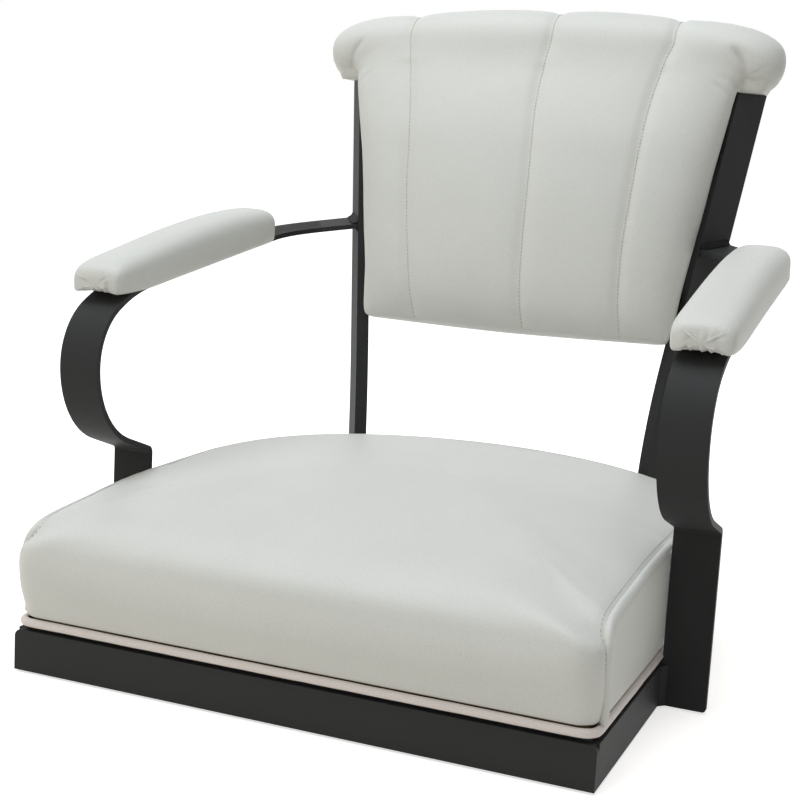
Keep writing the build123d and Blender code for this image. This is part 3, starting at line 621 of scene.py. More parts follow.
def finish_named(slot):
    """The material of one of the part's finishes or of the floor, made when first asked for."""
    settings = bpy.context.scene.stool_finish
    name, make, *values = {
        "powder_coat": ("Charcoal powder coat", coat_material, settings.metal_colour),
        "zinc_steel": ("Zinc plated steel", bright_metal_material, (0.55, 0.56, 0.55), 0.38),
        "ball_steel": ("Polished ball steel", bright_metal_material, (0.68, 0.68, 0.70), 0.16),
        "brass": ("Brass", bright_metal_material, (0.66, 0.47, 0.20), 0.30),
        "upholstery": ("Off white vinyl", cover_material, settings.cover_colour, 0.46),
        "welt": ("Piping vinyl", cover_material, settings.piping_colour, 0.42),
        "plywood": ("Birch plywood", plywood_material),
        "lining": ("Dust cloth", lining_material, (0.028, 0.028, 0.030)),
        "thread": ("Tan thread", thread_material, settings.thread_colour),
        "floor": ("Pale floor", floor_material),
    }[slot]
    return bpy.data.materials.get(name) or make(name, *values)


# The seat's outline and piping

RING_SHARES = (("front", 20), ("nose", 10), ("side", 42), ("corner", 26), ("rear", 20))


def half_outline(side_inset, front_inset, corner_radius):
    """Right half of the D, from the middle of the front to the middle of the rear: x, y and part."""
    side_x = HALF_WIDTH - side_inset
    y_front = FRONT_Y + front_inset
    near_x = side_x - corner_radius
    near_y = y_front + corner_radius
    corner_in = CORNER_ARC - side_inset
    rear_in = REAR_ARC - side_inset
    out = []
    for part, count in RING_SHARES:
        for i in range(count):
            t = i / count
            if part == "front":
                x, y = near_x * t, y_front
            elif part == "nose":
                a = math.pi / 2 * (1 - t)
                x, y = near_x + corner_radius * math.cos(a), near_y - corner_radius * math.sin(a)
            elif part == "side":
                x, y = side_x, near_y + (CORNER_ARC_Y - near_y) * t ** 1.35
            elif part == "corner":
                a = (math.pi / 2 - TANGENT_ANGLE) * t
                x, y = CORNER_OFFSET + corner_in * math.cos(a), CORNER_ARC_Y + corner_in * math.sin(a)
            else:
                a = math.pi / 2 - TANGENT_ANGLE * (1 - t)
                x, y = rear_in * math.cos(a), REAR_ARC_Y + rear_in * math.sin(a)
            out.append((x, y, part, t))
    out.append((0.0, REAR_ARC_Y + rear_in, "rear", 1.0))
    return out


def whole_outline(side_inset, front_inset, corner_radius):
    """The D all the way round, as half_outline gives its right half."""
    half = half_outline(side_inset, front_inset, corner_radius)
    mirrored = [(-x, y, part, t) for x, y, part, t in reversed(half[1:-1])]
    return half + mirrored


def at_level(outline, z):
    """The outline as points at one height."""
    return [Vector((x, y, z)) for x, y, _, _ in outline]


# Height of the piping round the top above the skirt's foot, by distance from the front, in millimetres
PIPING_RISE = (
    (0, 105.0), (13, 108.0), (20, 114.0), (30, 118.8), (57, 122.5), (92, 125.5), (138, 129.5),
    (200, 131.8), (300, 132.5), (420, 132.0), (520, 131.0),
)
# How far behind the front the piping stands as it climbs the corner, by height, in millimetres
CORD_OUT = (
    (43.5, 17.5), (50, 18.5), (62, 18.5), (80, 14.2), (95, 11.8), (105, 13.5), (112.5, 18.0), (116.5, 23.5),
    (121, 31.0), (130, 38.0), (160, 44.0),
)
# The piping follows this many rows of that table before it turns back along the side
CORNER_CLIMB = 8


def piping_level(y):
    """Height of the piping round the top."""
    return read_table(PIPING_RISE, (y - FRONT_Y) / MM)[0] * MM


def top_piping_path():
    """Up the right front corner, round the boxed sides and rear, and down the left front corner."""
    half = []
    for z, out in CORD_OUT[:CORNER_CLIMB]:
        inset = 1.2 + 2.9 * smooth((z - 104) / 14)
        half.append(Vector((HALF_WIDTH - inset * MM, FRONT_Y + (out - 0.8) * MM, z * MM)))
    for x, y, part, _ in half_outline(4.1 * MM, 4.1 * MM, 16 * MM):
        if part in ("side", "corner", "rear") and y > FRONT_Y + 28 * MM:
            half.append(Vector((x, y, piping_level(y))))
    left = [Vector((-p.x, p.y, p.z)) for p in reversed(half[:-1])]
    return soften_path(even_path(half + left, 4 * MM), 3)


def base_piping_path():
    """Round the board's edge."""
    path = at_level(whole_outline(3.0 * MM, 1.5 * MM, 10 * MM), BOARD_TOP - 5.2 * MM)
    return soften_path(even_path(path, 4 * MM, True), 1, True)


# Each row: place in the stack, side inset, side height, front inset, front height, in millimetres. Side
# heights are shares of the way up to the piping when under 1, and the rise above it, less 1, over 1.
SEAT_ROWS = (
    (0, 26.0, 0.004, 24.0, 0.4),
    (1, 5.2, -0.02, 4.2, -1.2),
    (2, 2.2, 0.02, 0.9, 1.6),
    (3, 1.1, 0.11, -2.4, 10.0),
    (4, 0.3, 0.25, -6.0, 20.0),
    (5, -0.2, 0.45, -9.2, 33.0),
    (6, -0.3, 0.66, -11.0, 45.0),
    (7, 0.0, 0.84, -10.8, 54.0),
    (8, 0.9, 0.955, -9.9, 59.5),
    (9, 2.6, 0.99, -8.4, 63.5),
    (10, 5.8, 3.6, -6.2, 67.6),
    (11, 10.4, 6.2, -2.6, 71.8),
    (12, 17.0, 9.2, 5.6, 76.4),
    (13, 28.0, 12.2, 19.0, 81.0),
    (14, 45.0, 14.6, 40.0, 86.0),
)
# The last row of the boxed sides, just under the piping
SIDE_END = 8
SEAT_TOP_ROWS = 18
SEAT_POLE = Vector((0, 12, 0)) * MM


def seat_point(corner, side_rise, front_rise):
    """Where a corner of the seat's cover goes on one of the rows."""
    x, y, part, t = corner
    front_z = BOARD_TOP + front_rise * MM
    if side_rise <= 1:
        side_z = BOARD_TOP + 0.3 * MM + (piping_level(y) - BOARD_TOP) * side_rise
    else:
        side_z = piping_level(y) + (side_rise - 1) * MM
    blend = {"front": 0.0, "nose": smooth(t)}.get(part, 1.0)
    return Vector((x, y, front_z + (side_z - front_z) * blend))


def seat_form(crown):
    """The crowned cover: boxed sides, waterfall front, and a top that rises to the middle."""
    fineness = 2
    side_rows = (len(SEAT_ROWS) - 1) * fineness
    rows = []
    for step in range(side_rows + 1):
        at = step / fineness
        side_inset, side_rise, front_inset, front_rise = read_table(SEAT_ROWS, at)
        past = at - SIDE_END
        low, high = SEAT_ROWS[SIDE_END][2], SEAT_ROWS[SIDE_END + 1][2]
        if past <= 0:
            side_rise = min(side_rise, low)
        elif past < 1:
            side_rise = low + (high - low) * past
        elif past < 2:
            side_rise = 1 + (past - 1) * 2.6
        cord_out = read_table(CORD_OUT, BOARD_TOP / MM + front_rise)[0]
        corner_radius = max((cord_out - front_inset) * 0.80 + 3.9, 6.0) * MM
        outline = whole_outline(side_inset * MM, front_inset * MM, corner_radius)
        rows.append([seat_point(corner, side_rise, front_rise) for corner in outline])
    edge = rows[-1]
    peak = (SEAT_POLE.x, SEAT_POLE.y, BOARD_TOP + crown)
    for step in range(1, SEAT_TOP_ROWS + 1):
        t = step / (SEAT_TOP_ROWS + 1)
        shares = (t, t, 1 - (1 - t) ** 1.6)
        rows.append([Vector([a + (b - a) * share for a, b, share in zip(p, peak, shares)]) for p in edge])
    path = top_piping_path()
    cord = tree_of(path)
    for row in rows[2:side_rows + 1]:
        for p in row:
            distance = cord.find(p)[2]
            nose = smooth((FRONT_Y + 36 * MM - p.y) / (16 * MM))
            away = Vector((math.copysign(0.9, p.x), -0.43, 0)) * nose
            fade = smooth((BOARD_TOP + 70 * MM - p.z) / (14 * MM))
            p -= away * 2.2 * fade * MM * hump(distance, 4.2 * MM)
    return grow_rings(len(rows), len(rows[0]), lambda row, i: rows[row][i]), path


class STOOL_OT_seat(bpy.types.Operator):
    """Make the seat's crowned cover, swollen over its filling between the piped seams"""

    bl_idname = "stool.seat"
    bl_label = "Seat cushion"

    def execute(self, context):
        sizes = context.scene.stool_sizes
        form, path = seat_form(sizes.seat_crown)
        piece = finish_form(form, "seat_cushion_cover", "upholstery")
        cords = tree_of(path + base_piping_path())

        def hold(p):
            """Fast on the board, firm at the cords and by the arms, and free in the middle."""
            if p.z < BOARD_TOP + 1.5 * MM:
                return 1
            weight = 1 - smooth((cords.find(p)[2] - 8 * MM) / (26 * MM))
            return max(weight, 0.8) if abs(p.x) > HALF_WIDTH - 8 * MM else weight

        fill_with_air(piece, hold, 3.0, sizes.seat_puff, sizes.cloth_frames, 0.001)
        smooth_piece(piece, 10, 0.5, lambda p: p.z > BOARD_TOP + 30 * MM and cords.find(p)[2] > 14 * MM)
        for vertex in piece.data.vertices:
            self.crease(vertex)
        subdivide(piece)
        self.stitch(context, piece, path)
        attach(piece, "seat_head")
        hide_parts("seat_cushion")
        return {"FINISHED"}

    def crease(self, vertex):
        """Dents where the arms' feet squeeze the top, and the sides kept off the arm plates."""
        p = vertex.co
        side = 1 if p.x > 0 else -1
        local = Vector((side * p.x, p.y, p.z)) / MM
        line_start = Vector((240, -52, 131))
        line_end = Vector((196, -64, 139))
        along = line_end - line_start
        t = min(max((local - line_start).dot(along) / along.length_squared, 0), 1)
        p.z -= 2.6 * MM * hump((local - line_start - along * t).length, 7) * (1 - 0.8 * t)
        p.z -= 1.6 * MM * hump((local - line_start).length, 24)
        plate_y, plate_half = -51.5, 20
        plate = hump(max(0.0, abs(local.y - plate_y) - plate_half), 7)
        limit = HALF_WIDTH - 0.5 * MM - (0.3 * MM) * plate
        if plate > 0.05 and abs(p.x) > limit:
            p.x = side * limit

    def stitch(self, context, piece, path):
        """A sewn line in the cover just inside the cord."""
        skin = surface_of(piece)
        line = []
        for p in even_path(path, context.scene.stool_sizes.stitch_pitch):
            side = math.copysign(1, p.x)
            hub = Vector((side * CORNER_OFFSET, max(min(p.y, CORNER_ARC_Y), FRONT_Y + 30 * MM), p.z))
            inward = (hub - p).normalized() * 6.0 * MM + Vector((0, 0, 3 * MM))
            climb = 1 - smooth((p.y - FRONT_Y - 8 * MM) / (16 * MM))
            near = Vector((-side * 5.4, -5.0, 0)) * MM
            place, normal, _, _ = skin.find_nearest(p + near * climb + inward * (1 - climb))
            line.append(place + normal * 0.15 * MM)
        lay_stitches("seat_stitches", [line], 0.45 * MM, 0.66)


class STOOL_OT_piping(bpy.types.Operator):
    """Make the cords sewn round the seat's lower edge and round its boxed sides"""

    bl_idname = "stool.piping"
    bl_label = "Seat piping"

    def execute(self, context):
        sizes = context.scene.stool_sizes
        for name, node, path, closed, finish in (
                ("seat_base_piping", "seat_base_welt", base_piping_path(), True, "welt"),
                ("seat_top_piping", "seat_top_welt", top_piping_path(), False, "upholstery")):
            form = cord_form(path, sizes.piping_radius, 14, closed, 0.05)
            piece = finish_form(form, name, finish)
            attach(piece, "seat_head")
            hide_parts(node)
        self.shade_board_edge()
        return {"FINISHED"}

    def shade_board_edge(self):
        """Dark cloth band round the board's edge behind the cord: painted shade where the vinyl over the
        edge lies in shadow, and it hides the floor seen through the gap.
        """
        rows = ((6.6, 45.0), (6.7, 42.0), (6.4, 38.0), (6.4, 34.4))
        rings = [at_level(whole_outline(inset * MM, inset * MM, 4 * MM), z * MM) for inset, z in rows]
        form = grow_rings(len(rows), len(rings[0]), lambda row, i: rings[row][i], False)
        # The band takes the dark lining, as painted shade in place of the shaded vinyl.
        piece = finish_form(form, "board_edge_shade_band", "lining")
        thicken(piece, 0.5 * MM, 0)
        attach(piece, "seat_head")


# The back

# Rows by run up the lean: half width, depth forward of the uprights' plane, and shift to the right, in
# millimetres
BACK_ROWS = (
    (-3, 153.5, 17.0, 2.5), (0, 158.0, 25.0, 2.6), (10, 162.2, 36.0, 3.0), (30, 164.6, 45.0, 4.0),
    (58, 167.2, 49.5, 4.4), (100, 173.8, 52.0, 3.8), (140, 179.9, 52.0, 3.6), (175, 185.4, 49.5, 2.6),
    (200, 190.3, 47.0, 1.6), (240, 198.4, 38.0, 0), (268, 205.0, 31.0, 0), (290, 208.0, 27.0, 0),
    (302, 204.0, 20.0, 0),
)
# Rows by run: where each of the three sewn lines is across the back, in millimetres
SEAM_LINES = (
    (0, -94.0, 22.5, 121.0), (40, -101.0, 19.0, 117.5), (90, -108.5, 17.0, 116.5),
    (140, -115.7, 15.5, 118.5), (190, -121.0, 12.5, 120.8), (230, -128.0, 9.5, 123.5),
    (270, -136.5, 10.0, 129.5), (300, -142.0, 13.0, 137.5),
)
# Rows by share of the roll's half length: radius in millimetres
ROLL_ROWS = (
    (0, 39.0), (0.2, 38.9), (0.35, 38.2), (0.65, 35.6), (0.8, 33.4), (0.88, 31.0), (0.925, 28.5),
    (0.95, 25.0), (0.97, 20.5), (0.985, 15.5), (0.996, 9.0), (1.0, 3.5),
)
ROLL_LENGTH = 486.0
ROLL_CENTRE_Y = 285.3
ROLL_UNDERSIDE = 508.6
ROLL_CORE = 38
ROLL_CENTRE_Z = ROLL_UNDERSIDE + ROLL_CORE
# Run at which the roll's underside stands
ROLL_RUN = 254
# Towards its ends, where the roll is thinner than this, it rises by a share of what is lacking
ROLL_TAIL = 28.5
ROLL_TAIL_RISE = 0.16
# How square the pad's section is towards its sides and towards its front
SIDE_POWER = 0.74
FRONT_POWER = 0.56
# Runs at which the pad's true sides end, its cover is held no more, and its seams sink into the roll
SIDES_END = 262
HELD_END = 285
SEAMS_TURN = 270


def back_point(x, run, forward):
    """Place of a point in millimetres across, up the back's lean, and forward of its plane."""
    return BACK_FOOT + Vector((x, 0, 0)) * MM + BACK_UP * run * MM + BACK_FORWARD * forward * MM


def back_local(p):
    """Across, run and forward of a place, in millimetres."""
    offset = p - BACK_FOOT
    return p.x / MM, offset.dot(BACK_UP) / MM, offset.dot(BACK_FORWARD) / MM


def face_form():
    """The back's pad, drawn round the edges of its board, flat behind and rounded at the sides."""
    segments = 96
    rows = 60
    low, high = BACK_ROWS[0][0], BACK_ROWS[-1][0]

    def place(row, i):
        run = low + (high - low) * row / (rows - 1)
        half, depth, shift = read_table(BACK_ROWS, run)
        front = segments * 3 // 4
        if i < front:
            angle = math.pi * i / (front - 1)
            c, s = math.cos(angle), math.sin(angle)
            x = shift + half * math.copysign(abs(c) ** SIDE_POWER, c)
            forward = BACK_REST + (depth - BACK_REST) * abs(s) ** FRONT_POWER
        else:
            t = (i - front + 1) / (segments - front + 1)
            x = shift + half * (-1 + 2 * t)
            forward = BACK_REST
        return back_point(x, run, forward)

    return grow_rings(rows, segments, place)


def roll_form():
    """The rolled top of the back, fuller in the middle, with rounded ends."""
    segments = 56
    rows = 120

    def place(row, i):
        share = math.sin(math.pi / 2 * (2 * row / (rows - 1) - 1))
        radius = read_table(ROLL_ROWS, abs(share))[0]
        angle = 2 * math.pi * i / segments
        lift = ROLL_UNDERSIDE + max(radius, ROLL_TAIL + (ROLL_TAIL - radius) * ROLL_TAIL_RISE)
        y = ROLL_CENTRE_Y + radius * math.cos(angle)
        return Vector((ROLL_LENGTH / 2 * share, y, lift + radius * math.sin(angle))) * MM

    return grow_rings(rows, segments, place)


def join_by_voxels(forms, name, size, finish):
    """The forms as one skin of even squares."""
    piece = finish_form(merge_forms(forms), name, finish)
    remesh = piece.modifiers.new("Even squares", "REMESH")
    remesh.mode = "VOXEL"
    remesh.voxel_size = size
    bake_modifier(piece, remesh)
    for face in piece.data.polygons:
        face.use_smooth = True
    return piece


def smooth_piece(piece, rounds, factor, where=None):
    """Relax the skin, everywhere or where the test says."""
    form = bmesh.new()
    form.from_mesh(piece.data)
    chosen = [v for v in form.verts if where is None or where(v.co)]
    for _ in range(rounds):
        bmesh.ops.smooth_vert(
            form, verts=chosen, factor=factor, use_axis_x=True, use_axis_y=True, use_axis_z=True)
    form.to_mesh(piece.data)
    form.free()


def seam_distance(x, run):
    """How far a place on the back's face is from the nearest sewn line."""
    return min(abs(x - place) for place in read_table(SEAM_LINES, run))


# Where the folds and gathers of the roll's ends begin: across and up, in millimetres
ENDS_FROM = (165, 490)
# Where the deep fold at each end of the roll stands across, by height, in millimetres
FOLD_LINE = ((500, 196.0), (513.6, 203.3), (521, 208.0), (535.8, 205.5), (548.6, 198.0), (560, 190.0))
# Small folds near the roll's ends: start and end across and up, depth and width, in millimetres
PLEATS = (
    ((181, 516), (202, 501), 1.5, 2.6), ((188, 524), (205, 513), 0.9, 2.2),
    ((209, 520), (232, 524), 1.6, 2.0), ((230, 523), (241, 540), 1.2, 1.8),
    ((208, 522), (226, 533), 0.8, 1.8),
)


class STOOL_OT_back(bpy.types.Operator):
    """Make the back's channelled pad and the roll over its top as one filled cover"""

    bl_idname = "stool.back"
    bl_label = "Back cushion and roll"

    def execute(self, context):
        sizes = context.scene.stool_sizes
        piece = join_by_voxels([face_form(), roll_form()], "back_cushion_cover", 4.5 * MM, "upholstery")

        def joint(p):
            """Whether the place is where the face runs up into the roll, clear of the ends."""
            return 0.50 < p.z < 0.565 and abs(p.x) < 0.19 and back_local(p)[2] > 10

        def hold(p):
            """Firm along the sewn lines and against the board, and free between them."""
            x, run, forward = back_local(p)
            sewn = 1 - smooth((seam_distance(x, run) - 3) / 9) if forward > 12 else 0.0
            backed = 1 - smooth((forward - 6) / 14) if run < HELD_END else 0.0
            return max(sewn, backed)

        smooth_piece(piece, 3, 0.5)
        smooth_piece(piece, 10, 0.5, joint)
        fill_with_air(piece, hold, 3.5, sizes.back_puff, sizes.cloth_frames)
        smooth_piece(piece, 4, 0.5)
        self.true_sides(piece)
        self.sink_seams(piece, sizes.seam_depth)
        subdivide(piece)
        self.crease(piece)
        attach(piece, "seat_head")
        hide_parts("back_cushion", "back_roll")
        self.stitch(context, piece)
        return {"FINISHED"}

    def sink_seams(self, piece, depth):
        """Draw the cover in along the sewn lines, over the face and round the roll."""
        core = Vector((0, ROLL_CENTRE_Y, ROLL_CENTRE_Z)) * MM
        for vertex in piece.data.vertices:
            x, run, forward = back_local(vertex.co)
            if forward <= 12 and run <= HELD_END:
                continue
            distance = seam_distance(x, run)
            shown = smooth((run + 2) / 14)
            if run > HELD_END:
                shown *= smooth((forward + 40) / 40)
            push = 0.62 * hump(distance, 5) + 0.38 * hump(distance, 20)
            inward = -BACK_FORWARD if run < SEAMS_TURN else core - Vector((0, vertex.co.y, vertex.co.z))
            vertex.co += inward.normalized() * push * shown * depth

    def true_sides(self, piece):
        """Draw the pad's sides to an even line along the uprights."""
        for vertex in piece.data.vertices:
            x, run, forward = back_local(vertex.co)
            if not 0 < run < SIDES_END:
                continue
            half, depth, shift = read_table(BACK_ROWS, run)
            share = min(max((forward - BACK_REST) / (depth - BACK_REST), 0), 0.98) ** (1 / FRONT_POWER)
            reach = half * (1 - share * share) ** (SIDE_POWER / 2)
            side = math.copysign(1, x - shift)
            within = smooth(run / 6) * smooth((SIDES_END - run) / 14)
            weight = (1 - smooth((forward - 14) / 16)) * smooth((abs(x - shift) - half + 22) / 8) * within
            x += (shift + side * reach - x) * weight
            if forward < BACK_REST + 3:
                forward += (BACK_REST - forward) * within
            vertex.co = back_point(x, run, forward)

    def crease(self, piece):
        """Folds and gathers at the roll's ends, and flats where it lies on the uprights."""
        for vertex in piece.data.vertices:
            p = vertex.co
            side = 1 if p.x > 0 else -1
            deep = 1.0 if side > 0 else 0.5
            x, y, z = side * p.x / MM, p.y / MM, p.z / MM
            if z < ENDS_FROM[1] or x < ENDS_FROM[0]:
                continue
            outward = Vector((0, y - ROLL_CENTRE_Y, z - ROLL_UNDERSIDE - 30))
            inward = -outward.normalized()
            front = smooth((ROLL_CENTRE_Y - 8 - y) / 10)
            fold_x = read_table(FOLD_LINE, z)[0]
            reach = smooth((z - 506) / 10) * smooth((555 - z) / 12)
            fold = (hump(x - fold_x, 2.4) + 0.5 * hump(x - fold_x, 8)) * reach * front
            move = inward * fold * 3.6 * deep
            for (ax, az), (bx, bz), depth, wide in PLEATS:
                along = Vector((bx - ax, bz - az))
                off = Vector((x - ax, z - az))
                t = off.dot(along) / along.length_squared
                across = off.cross(along) / along.length
                shown = smooth((t + 0.15) / 0.3) * smooth((1.1 - t) / 0.25)
                ridge = hump(across + wide, wide) * 0.4
                move += inward * front * deep * depth * shown * (hump(across, wide) - ridge)
            angle = math.atan2(outward.z, -outward.y)
            lower = smooth((0.5 - angle) / 1.2) * 0.8 + 0.2
            wave = 0.5 + 0.5 * math.sin(angle * 19 + 2.5 * math.sin(angle * 3))
            move += inward * smooth((x - 212) / 20) * lower * wave * 0.7
            vertex.co = p + move * MM
            rest = smooth((x - 190) / 6) * smooth((229.5 - x) / 5)
            rest *= smooth((y - 260) / 8) * smooth((312 - y) / 8)
            if z < ROLL_UNDERSIDE + 13 and rest > 0:
                level = (ROLL_UNDERSIDE + 0.7) * MM
                vertex.co.z += (level - vertex.co.z) * rest * smooth((ROLL_UNDERSIDE + 13 - z) / 6)

    def stitch(self, context, piece):
        """A sewn line down each valley, from the foot of the pad to the top of the roll."""
        pitch = context.scene.stool_sizes.stitch_pitch / MM
        skin = surface_of(piece)
        lines = []
        for seam in range(3):
            line = []
            run = 4.0
            while run < 286:
                start = back_point(read_table(SEAM_LINES, run)[seam], run, 90)
                hit, normal, _, _ = skin.ray_cast(start, -BACK_FORWARD)
                if hit:
                    line.append(hit + normal * 0.25 * MM)
                run += pitch
            for i in range(1, 26):
                angle = math.radians(-8 + i * 5.4)
                direction = Vector((0, -math.cos(angle), math.sin(angle)))
                run = ROLL_RUN + ROLL_CORE * (math.cos(BACK_LEAN) + math.sin(angle))
                centre = Vector((read_table(SEAM_LINES, run)[seam], ROLL_CENTRE_Y, ROLL_CENTRE_Z)) * MM
                hit, normal, _, _ = skin.ray_cast(centre + direction * 0.09, -direction)
                if hit and (hit - line[-1]).length > 2.2 * MM:
                    line.append(hit + normal * 0.25 * MM)
            lines.append(line)
        lay_stitches("back_stitches", lines, 0.5 * MM, 0.7)


class STOOL_OT_back_panel(bpy.types.Operator):
    """Make the plain cover behind the back, and the tacks down its sides"""

    bl_idname = "stool.back_panel"
    bl_label = "Rear cover of the back"

    def execute(self, context):
        low, high = 6.0, 280.0
        half_low, half_high = 149.3, 195.0
        columns, rows = 48, 40

        def half_at(run):
            """Half of the cover's width at this run."""
            return half_low + (half_high - half_low) * (run - low) / (high - low)

        form = bmesh.new()
        made = bmesh.ops.create_grid(form, x_segments=columns, y_segments=rows, size=1.0)["verts"]
        for vertex in made:
            u, v = vertex.co.x, vertex.co.y
            run = low + (high - low) * (v + 1) / 2
            edge = max(abs(u), abs(v)) ** 8
            between = math.sin(math.pi * min(max((run - 58) / 130, 0), 1)) ** 2
            puff = 1.3 * between * (1 - abs(u) ** 4)
            vertex.co = back_point(u * half_at(run), run, 0.45 - puff + 0.5 * edge)
        piece = finish_form(form, "back_rear_panel", "upholstery")
        thicken(piece, 0.9 * MM, -1)
        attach(piece, "seat_head")
        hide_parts("back_rear_cover")
        tacks = bmesh.new()
        run = low + 12
        while run < 250:
            for side in (-1, 1):
                place = back_point(side * (half_at(run) - 7), run, 0.1)
                head = laid_along(place, -BACK_FORWARD, (3.2 * MM, 3.2 * MM, 1.4 * MM))
                bmesh.ops.create_uvsphere(tacks, u_segments=12, v_segments=6, radius=1, matrix=head)
            run += 22
        piece = finish_form(tacks, "back_panel_tacks", "zinc_steel")
        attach(piece, "seat_head")
        return {"FINISHED"}


# The arm pads

# Rows by distance from the pad's front, in millimetres: half width, top above the ribbon's line, foot
# above the same line. The line is the upper face of the ribbon's straight run, carried on forward.
PAD_ROWS = (
    (0.0, 10.0, 9.5, 5.0),
    (0.6, 17.0, 14.0, 1.4),
    (2.2, 21.4, 18.2, -0.8),
    (6.0, 24.0, 22.2, -1.8),
    (14.0, 25.6, 25.4, -2.8),
    (34.0, 26.2, 27.8, -5.0),
    (60.0, 26.4, 29.4, -6.2),
    (102.0, 26.4, 32.0, -6.2),
    (140.0, 26.4, 33.8, -6.2),
    (200.0, 26.6, 34.4, -6.2),
    (250.0, 26.8, 32.2, -6.2),
    (278.0, 26.8, 29.6, -6.2),
    (289.0, 26.0, 27.4, -6.2),
    (294.5, 23.8, 24.0, -5.2),
    (296.0, 19.5, 19.0, -2.0),
)
PAD_START = -62.0
PAD_LENGTH = 296.0
# How much closer together the pad's rings are towards its ends
END_CROWDING = 0.085
# Middle of each pad across its arm, at the front and at the rear, in millimetres
PAD_MIDDLES = {1: (20.4, 13.6), -1: (23.8, 24.4)}


def run_level(y):
    """Height of the run's upper face in the arm's own measure, in millimetres."""
    return RUN_START[1] + (y - RUN_START[0]) * math.tan(ARM_SLOPE)


def scroll_top(y):
    """Height of the ribbon's upper face where it curls down before the run, in millimetres."""
    if y > EASY_END:
        return run_level(y)
    centre_y = RUN_START[0] + EASY_BEND * math.sin(ARM_SLOPE)
    centre_z = RUN_START[1] - EASY_BEND * math.cos(ARM_SLOPE)
    if y > TIGHT_END:
        return centre_z + math.sqrt(max(EASY_BEND ** 2 - (y - centre_y) ** 2, 0))
    off = min(abs(y - TIGHT_CENTRE[0]), TIGHT_BEND)
    return TIGHT_CENTRE[1] + math.sqrt(TIGHT_BEND ** 2 - off ** 2)


def pad_form(side):
    """A pad over its ribbon: domed above, and hollow below where the ribbon lies in it."""
    segments, sole = 64, 12
    rows = 90
    front_middle, rear_middle = PAD_MIDDLES[side]
    lip_in = -0.5
    lip_out = RIBBON_WIDTH + 0.5

    def place(row, i):
        share = row / (rows - 1)
        along = PAD_LENGTH * (share - END_CROWDING * math.sin(2 * math.pi * share))
        half, top, foot = read_table(PAD_ROWS, along)
        middle = front_middle + (rear_middle - front_middle) * along / PAD_LENGTH
        y = PAD_START + along
        line = run_level(y)
        low, high = line + foot, line + top
        centre = (low + high) / 2
        tall = (high - low) / 2
        outer = segments - sole
        if i < outer:
            angle = math.pi * (-0.465 + 1.93 * i / (outer - 1))
            c, s = math.cos(angle), math.sin(angle)
            across_power, up_power = (0.62, 0.8) if s > 0 else (0.14, 0.45)
            x = middle + half * math.copysign(abs(c) ** across_power, c)
            z = centre + tall * math.copysign(abs(s) ** up_power, s)
        else:
            t = (i - outer) / (sole - 1)
            x = lip_in + (lip_out - lip_in) * t
            z = low + 0.2
            roof = max(scroll_top(y), low) + (9.0 if -4 < y < 232 else 0.6)
            if 0.02 < t < 0.98:
                z = max(low + 0.2, min(roof, low + tall * 0.9))
        corner = ARM_FRONT / MM + Vector((x, y, z))
        return Vector((side * corner.x, corner.y, corner.z)) * MM

    return grow_rings(rows, segments, place)


class STOOL_OT_arm_pads(bpy.types.Operator):
    """Make the padded arm rests, gathered at the front where they turn over the scroll"""

    bl_idname = "stool.arm_pads"
    bl_label = "Arm pads"

    def execute(self, context):
        sizes = context.scene.stool_sizes
        for side, word in ((1, "right"), (-1, "left")):
            piece = finish_form(pad_form(side), "arm_pad_cover_" + word, "upholstery")

            def hold(p):
                """Fast over the ribbon, firm low down, and free above."""
                x, y, z = self.local(p, side)
                rise = z - run_level(y)
                return 1 if -2 < x < 40.5 and rise < 12 else 1 - smooth((rise + 2) / 12)

            fill_with_air(piece, hold, 3.0, sizes.pad_puff, sizes.cloth_frames)
            smooth_piece(piece, 2, 0.4)
            subdivide(piece)
            for vertex in piece.data.vertices:
                self.gather(vertex, side)
            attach(piece, "seat_head")
            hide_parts("arm_pad_" + word)
        return {"FINISHED"}

    def local(self, p, side):
        """Across, along and up in the arm's own measure, in millimetres."""
        return (side * p.x - ARM_FRONT.x) / MM, (p.y - ARM_FRONT.y) / MM, (p.z - ARM_FRONT.z) / MM

    def gather(self, vertex, side):
        """Pleats that run down the pad's nose to its lower edge."""
        x, y, z = self.local(vertex.co, side)
        along = y - PAD_START
        rise = z - run_level(y)
        near = hump(max(along, 0), 15) * smooth((24 - rise) / 16)
        middle = math.exp(-((x - PAD_MIDDLES[side][0]) / 17) ** 4)
        wave = math.sin(x * 1.35 + 1.6 * math.sin(x * 0.27 + 2 + side)) + 0.5 * math.sin(x * 0.8 + 1)
        vertex.co.y += wave * near * (0.35 + 0.65 * middle) * 0.6 * MM
        low = smooth((6 - rise) / 8) * near
        vertex.co.z += (2.2 * middle + 0.8 * wave * middle) * low * MM


